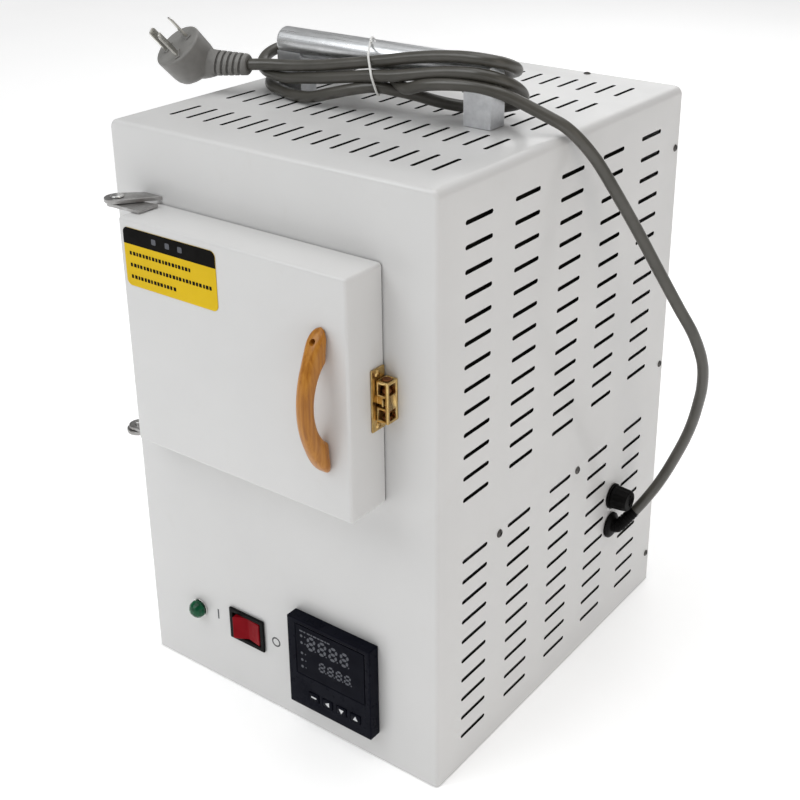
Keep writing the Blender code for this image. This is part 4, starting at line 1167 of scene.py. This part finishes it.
# ---- side fittings, handle

def make_side_fittings():
    for node in ("fuse_holder", "cord_gland"):
        refined(node, "black_plastic", 0.4)
    low, high, centre = placed("fuse_cap")
    radius, length = (high.z - low.z) / 2, high.x - low.x
    profile = ((0.93, 0.0), (1.0, 0.04), (1.0, 0.14), (0.94, 0.74), (0.90, 0.90),
               (0.80, 0.98), (0.34, 1.0), (0.31, 0.95))
    cap = spun([(radius * r, length * h) for r, h in profile],
               (low.x, centre.y, centre.z), (1, 0, 0), 48)
    for vert in cap.verts:
        point = Vector((0, vert.co.y - centre.y * MM, vert.co.z - centre.z * MM))
        turn = math.atan2(point.z, point.y)
        along = (vert.co.x / MM - low.x) / length
        if point.length > 0.78 * radius * MM and 0.1 < along < 0.95:
            vert.co -= point * 0.03 * (1 + math.cos(12 * turn))
    cover = from_shape("knurled_fuse_cap", cap, "black_plastic", "fuse_carrier",
                       ("fuse_cap",), 30)
    carve(cover, cuboid((high.x - 1.2, centre.y - 0.6, centre.z - 5.0),
                        (high.x + 1, centre.y + 0.6, centre.z + 5.0)))


def make_handle():
    low, high = span("carry_handle_grip")
    radius = (high.z - low.z) / 2
    centre = (low + high) / 2
    length = high.x - low.x
    rim = [(radius - 2.2 + 2.2 * math.sin(a), 2.2 - 2.2 * math.cos(a))
           for a in [math.pi / 2 * i / 6 for i in range(7)]]
    profile = rim + [(r, length - h) for r, h in reversed(rim)]
    from_shape("grip_bar", spun(profile, (low.x, centre.y, centre.z), (1, 0, 0), 64),
               "aluminium", replaced=("carry_handle_grip",), smooth=40)
    for side in ("left", "right"):
        refined(f"carry_post_{side}", "cast", 0.9, 3)


# ---- chamber

def coil(points, radius, pitch):
    """A helix wound along a line, with nine points to a turn."""
    line = spaced([Vector(p) for p in points], pitch / 9)
    made = []
    for i, point in enumerate(line):
        ahead = line[min(i + 1, len(line) - 1)] - line[max(i - 1, 0)]
        normal = ahead.normalized()
        other = Vector((1, 0, 0))
        side = normal.cross(other).normalized()
        turn = 2 * math.pi * i / 9
        made.append(point + (side * math.cos(turn) + other * math.sin(turn)) * radius)
    return made


def make_heater(side):
    """Coiled wire laid up and down a side wall of the chamber."""
    node = f"heating_element_{side}"
    low, high = span(node)
    x = (low.x + high.x) / 2
    rod = (high.x - low.x) / 2
    top, bottom = high.z - rod, low.z + rod
    turn = (top - bottom) / 6
    front, rear = low.y + rod + turn, high.y - rod - turn
    points = [(x, high.y - 0.5, bottom)]
    for i in range(3):
        centre = (front if i % 2 == 0 else rear, bottom + turn * (2 * i + 1))
        swing = (270, 90) if i % 2 == 0 else (-90, 90)
        points += [(x, y, z) for y, z in arc(centre, turn, *swing, 8)]
    points.append((x, front, top))
    tube_curve("coil_" + side, coil(points, 1.05, 2.6), 0.42, "heater_wire",
               replaced=(node,), resolution=1)


# ---- carried over

CARRIED = {
    "back_panel": "case", "base_panel": "zinc_sheet", "shelf_plate": "zinc_sheet",
    "door_back_frame": "zinc_sheet", "door_insulation": "fibre",
    "insulation_jacket": "jacket", "chamber_lining": "lining", "hearth_plate": "hearth",
    "thermocouple": "ceramic", "catch_ball_upper": "bronze",
    "catch_ball_lower": "bronze", "solid_state_relay": "black_plastic",
    "terminal_block": "white_plastic", "fuse_link": "glass",
}


def dress_carried_nodes():
    for node, finish in CARRIED.items():
        data = NODES[node].data
        data.materials.clear()
        data.materials.append(FINISH[finish])


# ---- studio

def area_light(name, place, size, power, colour):
    data = bpy.data.lights.new(name, "AREA")
    data.shape = "RECTANGLE"
    data.size, data.size_y = size
    data.energy = power
    data.color = colour
    lamp = add_object(name, data)
    lamp.location = place
    aim = Vector(place) - Vector((0.0, 0.0, 0.22))
    lamp.rotation_euler = aim.to_track_quat("Z", "Y").to_euler()


def make_studio():
    shape = bmesh.new()
    bmesh.ops.create_grid(shape, x_segments=2, y_segments=2, size=20.0)
    mesh = bpy.data.meshes.new("floor")
    shape.to_mesh(mesh)
    shape.free()
    floor = add_object("floor", mesh)
    floor.location.z = -0.0005
    mesh.materials.append(floor_paint())
    for name, place, size, power, colour in (
            ("key", (-0.9, -1.7, 2.0), (1.6, 1.2), 20, (0.96, 0.985, 1.0)),
            ("top", (0.1, 0.1, 2.2), (2.0, 2.0), 9, (1.0, 1.0, 1.0)),
            ("fill", (2.1, -0.4, 0.9), (1.2, 1.4), 4.6, (1.0, 0.90, 0.80)),
            ("rear", (-0.6, 2.2, 1.5), (1.6, 1.2), 8, (1.0, 1.0, 1.0))):
        area_light(name, place, size, power, colour)
    overhead = bpy.data.lights.new("overhead", "SUN")
    overhead.energy, overhead.angle = 0.85, math.radians(60)
    add_object("overhead", overhead)
    world = bpy.data.worlds.new("studio")
    world.use_nodes = True
    sky = world.node_tree.nodes["Background"]
    sky.inputs["Color"].default_value = (1, 1, 1, 1)
    sky.inputs["Strength"].default_value = 0.27
    bpy.context.scene.world = world
    bpy.context.scene.view_settings.view_transform = "Standard"


make_case()
make_case_screws()
make_door()
make_seal()
make_pull()
make_sticker()
make_hardware()
make_lamp()
make_switch()
make_controller()
make_side_fittings()
make_handle()
make_heater("left")
make_heater("right")
dress_carried_nodes()
make_studio()
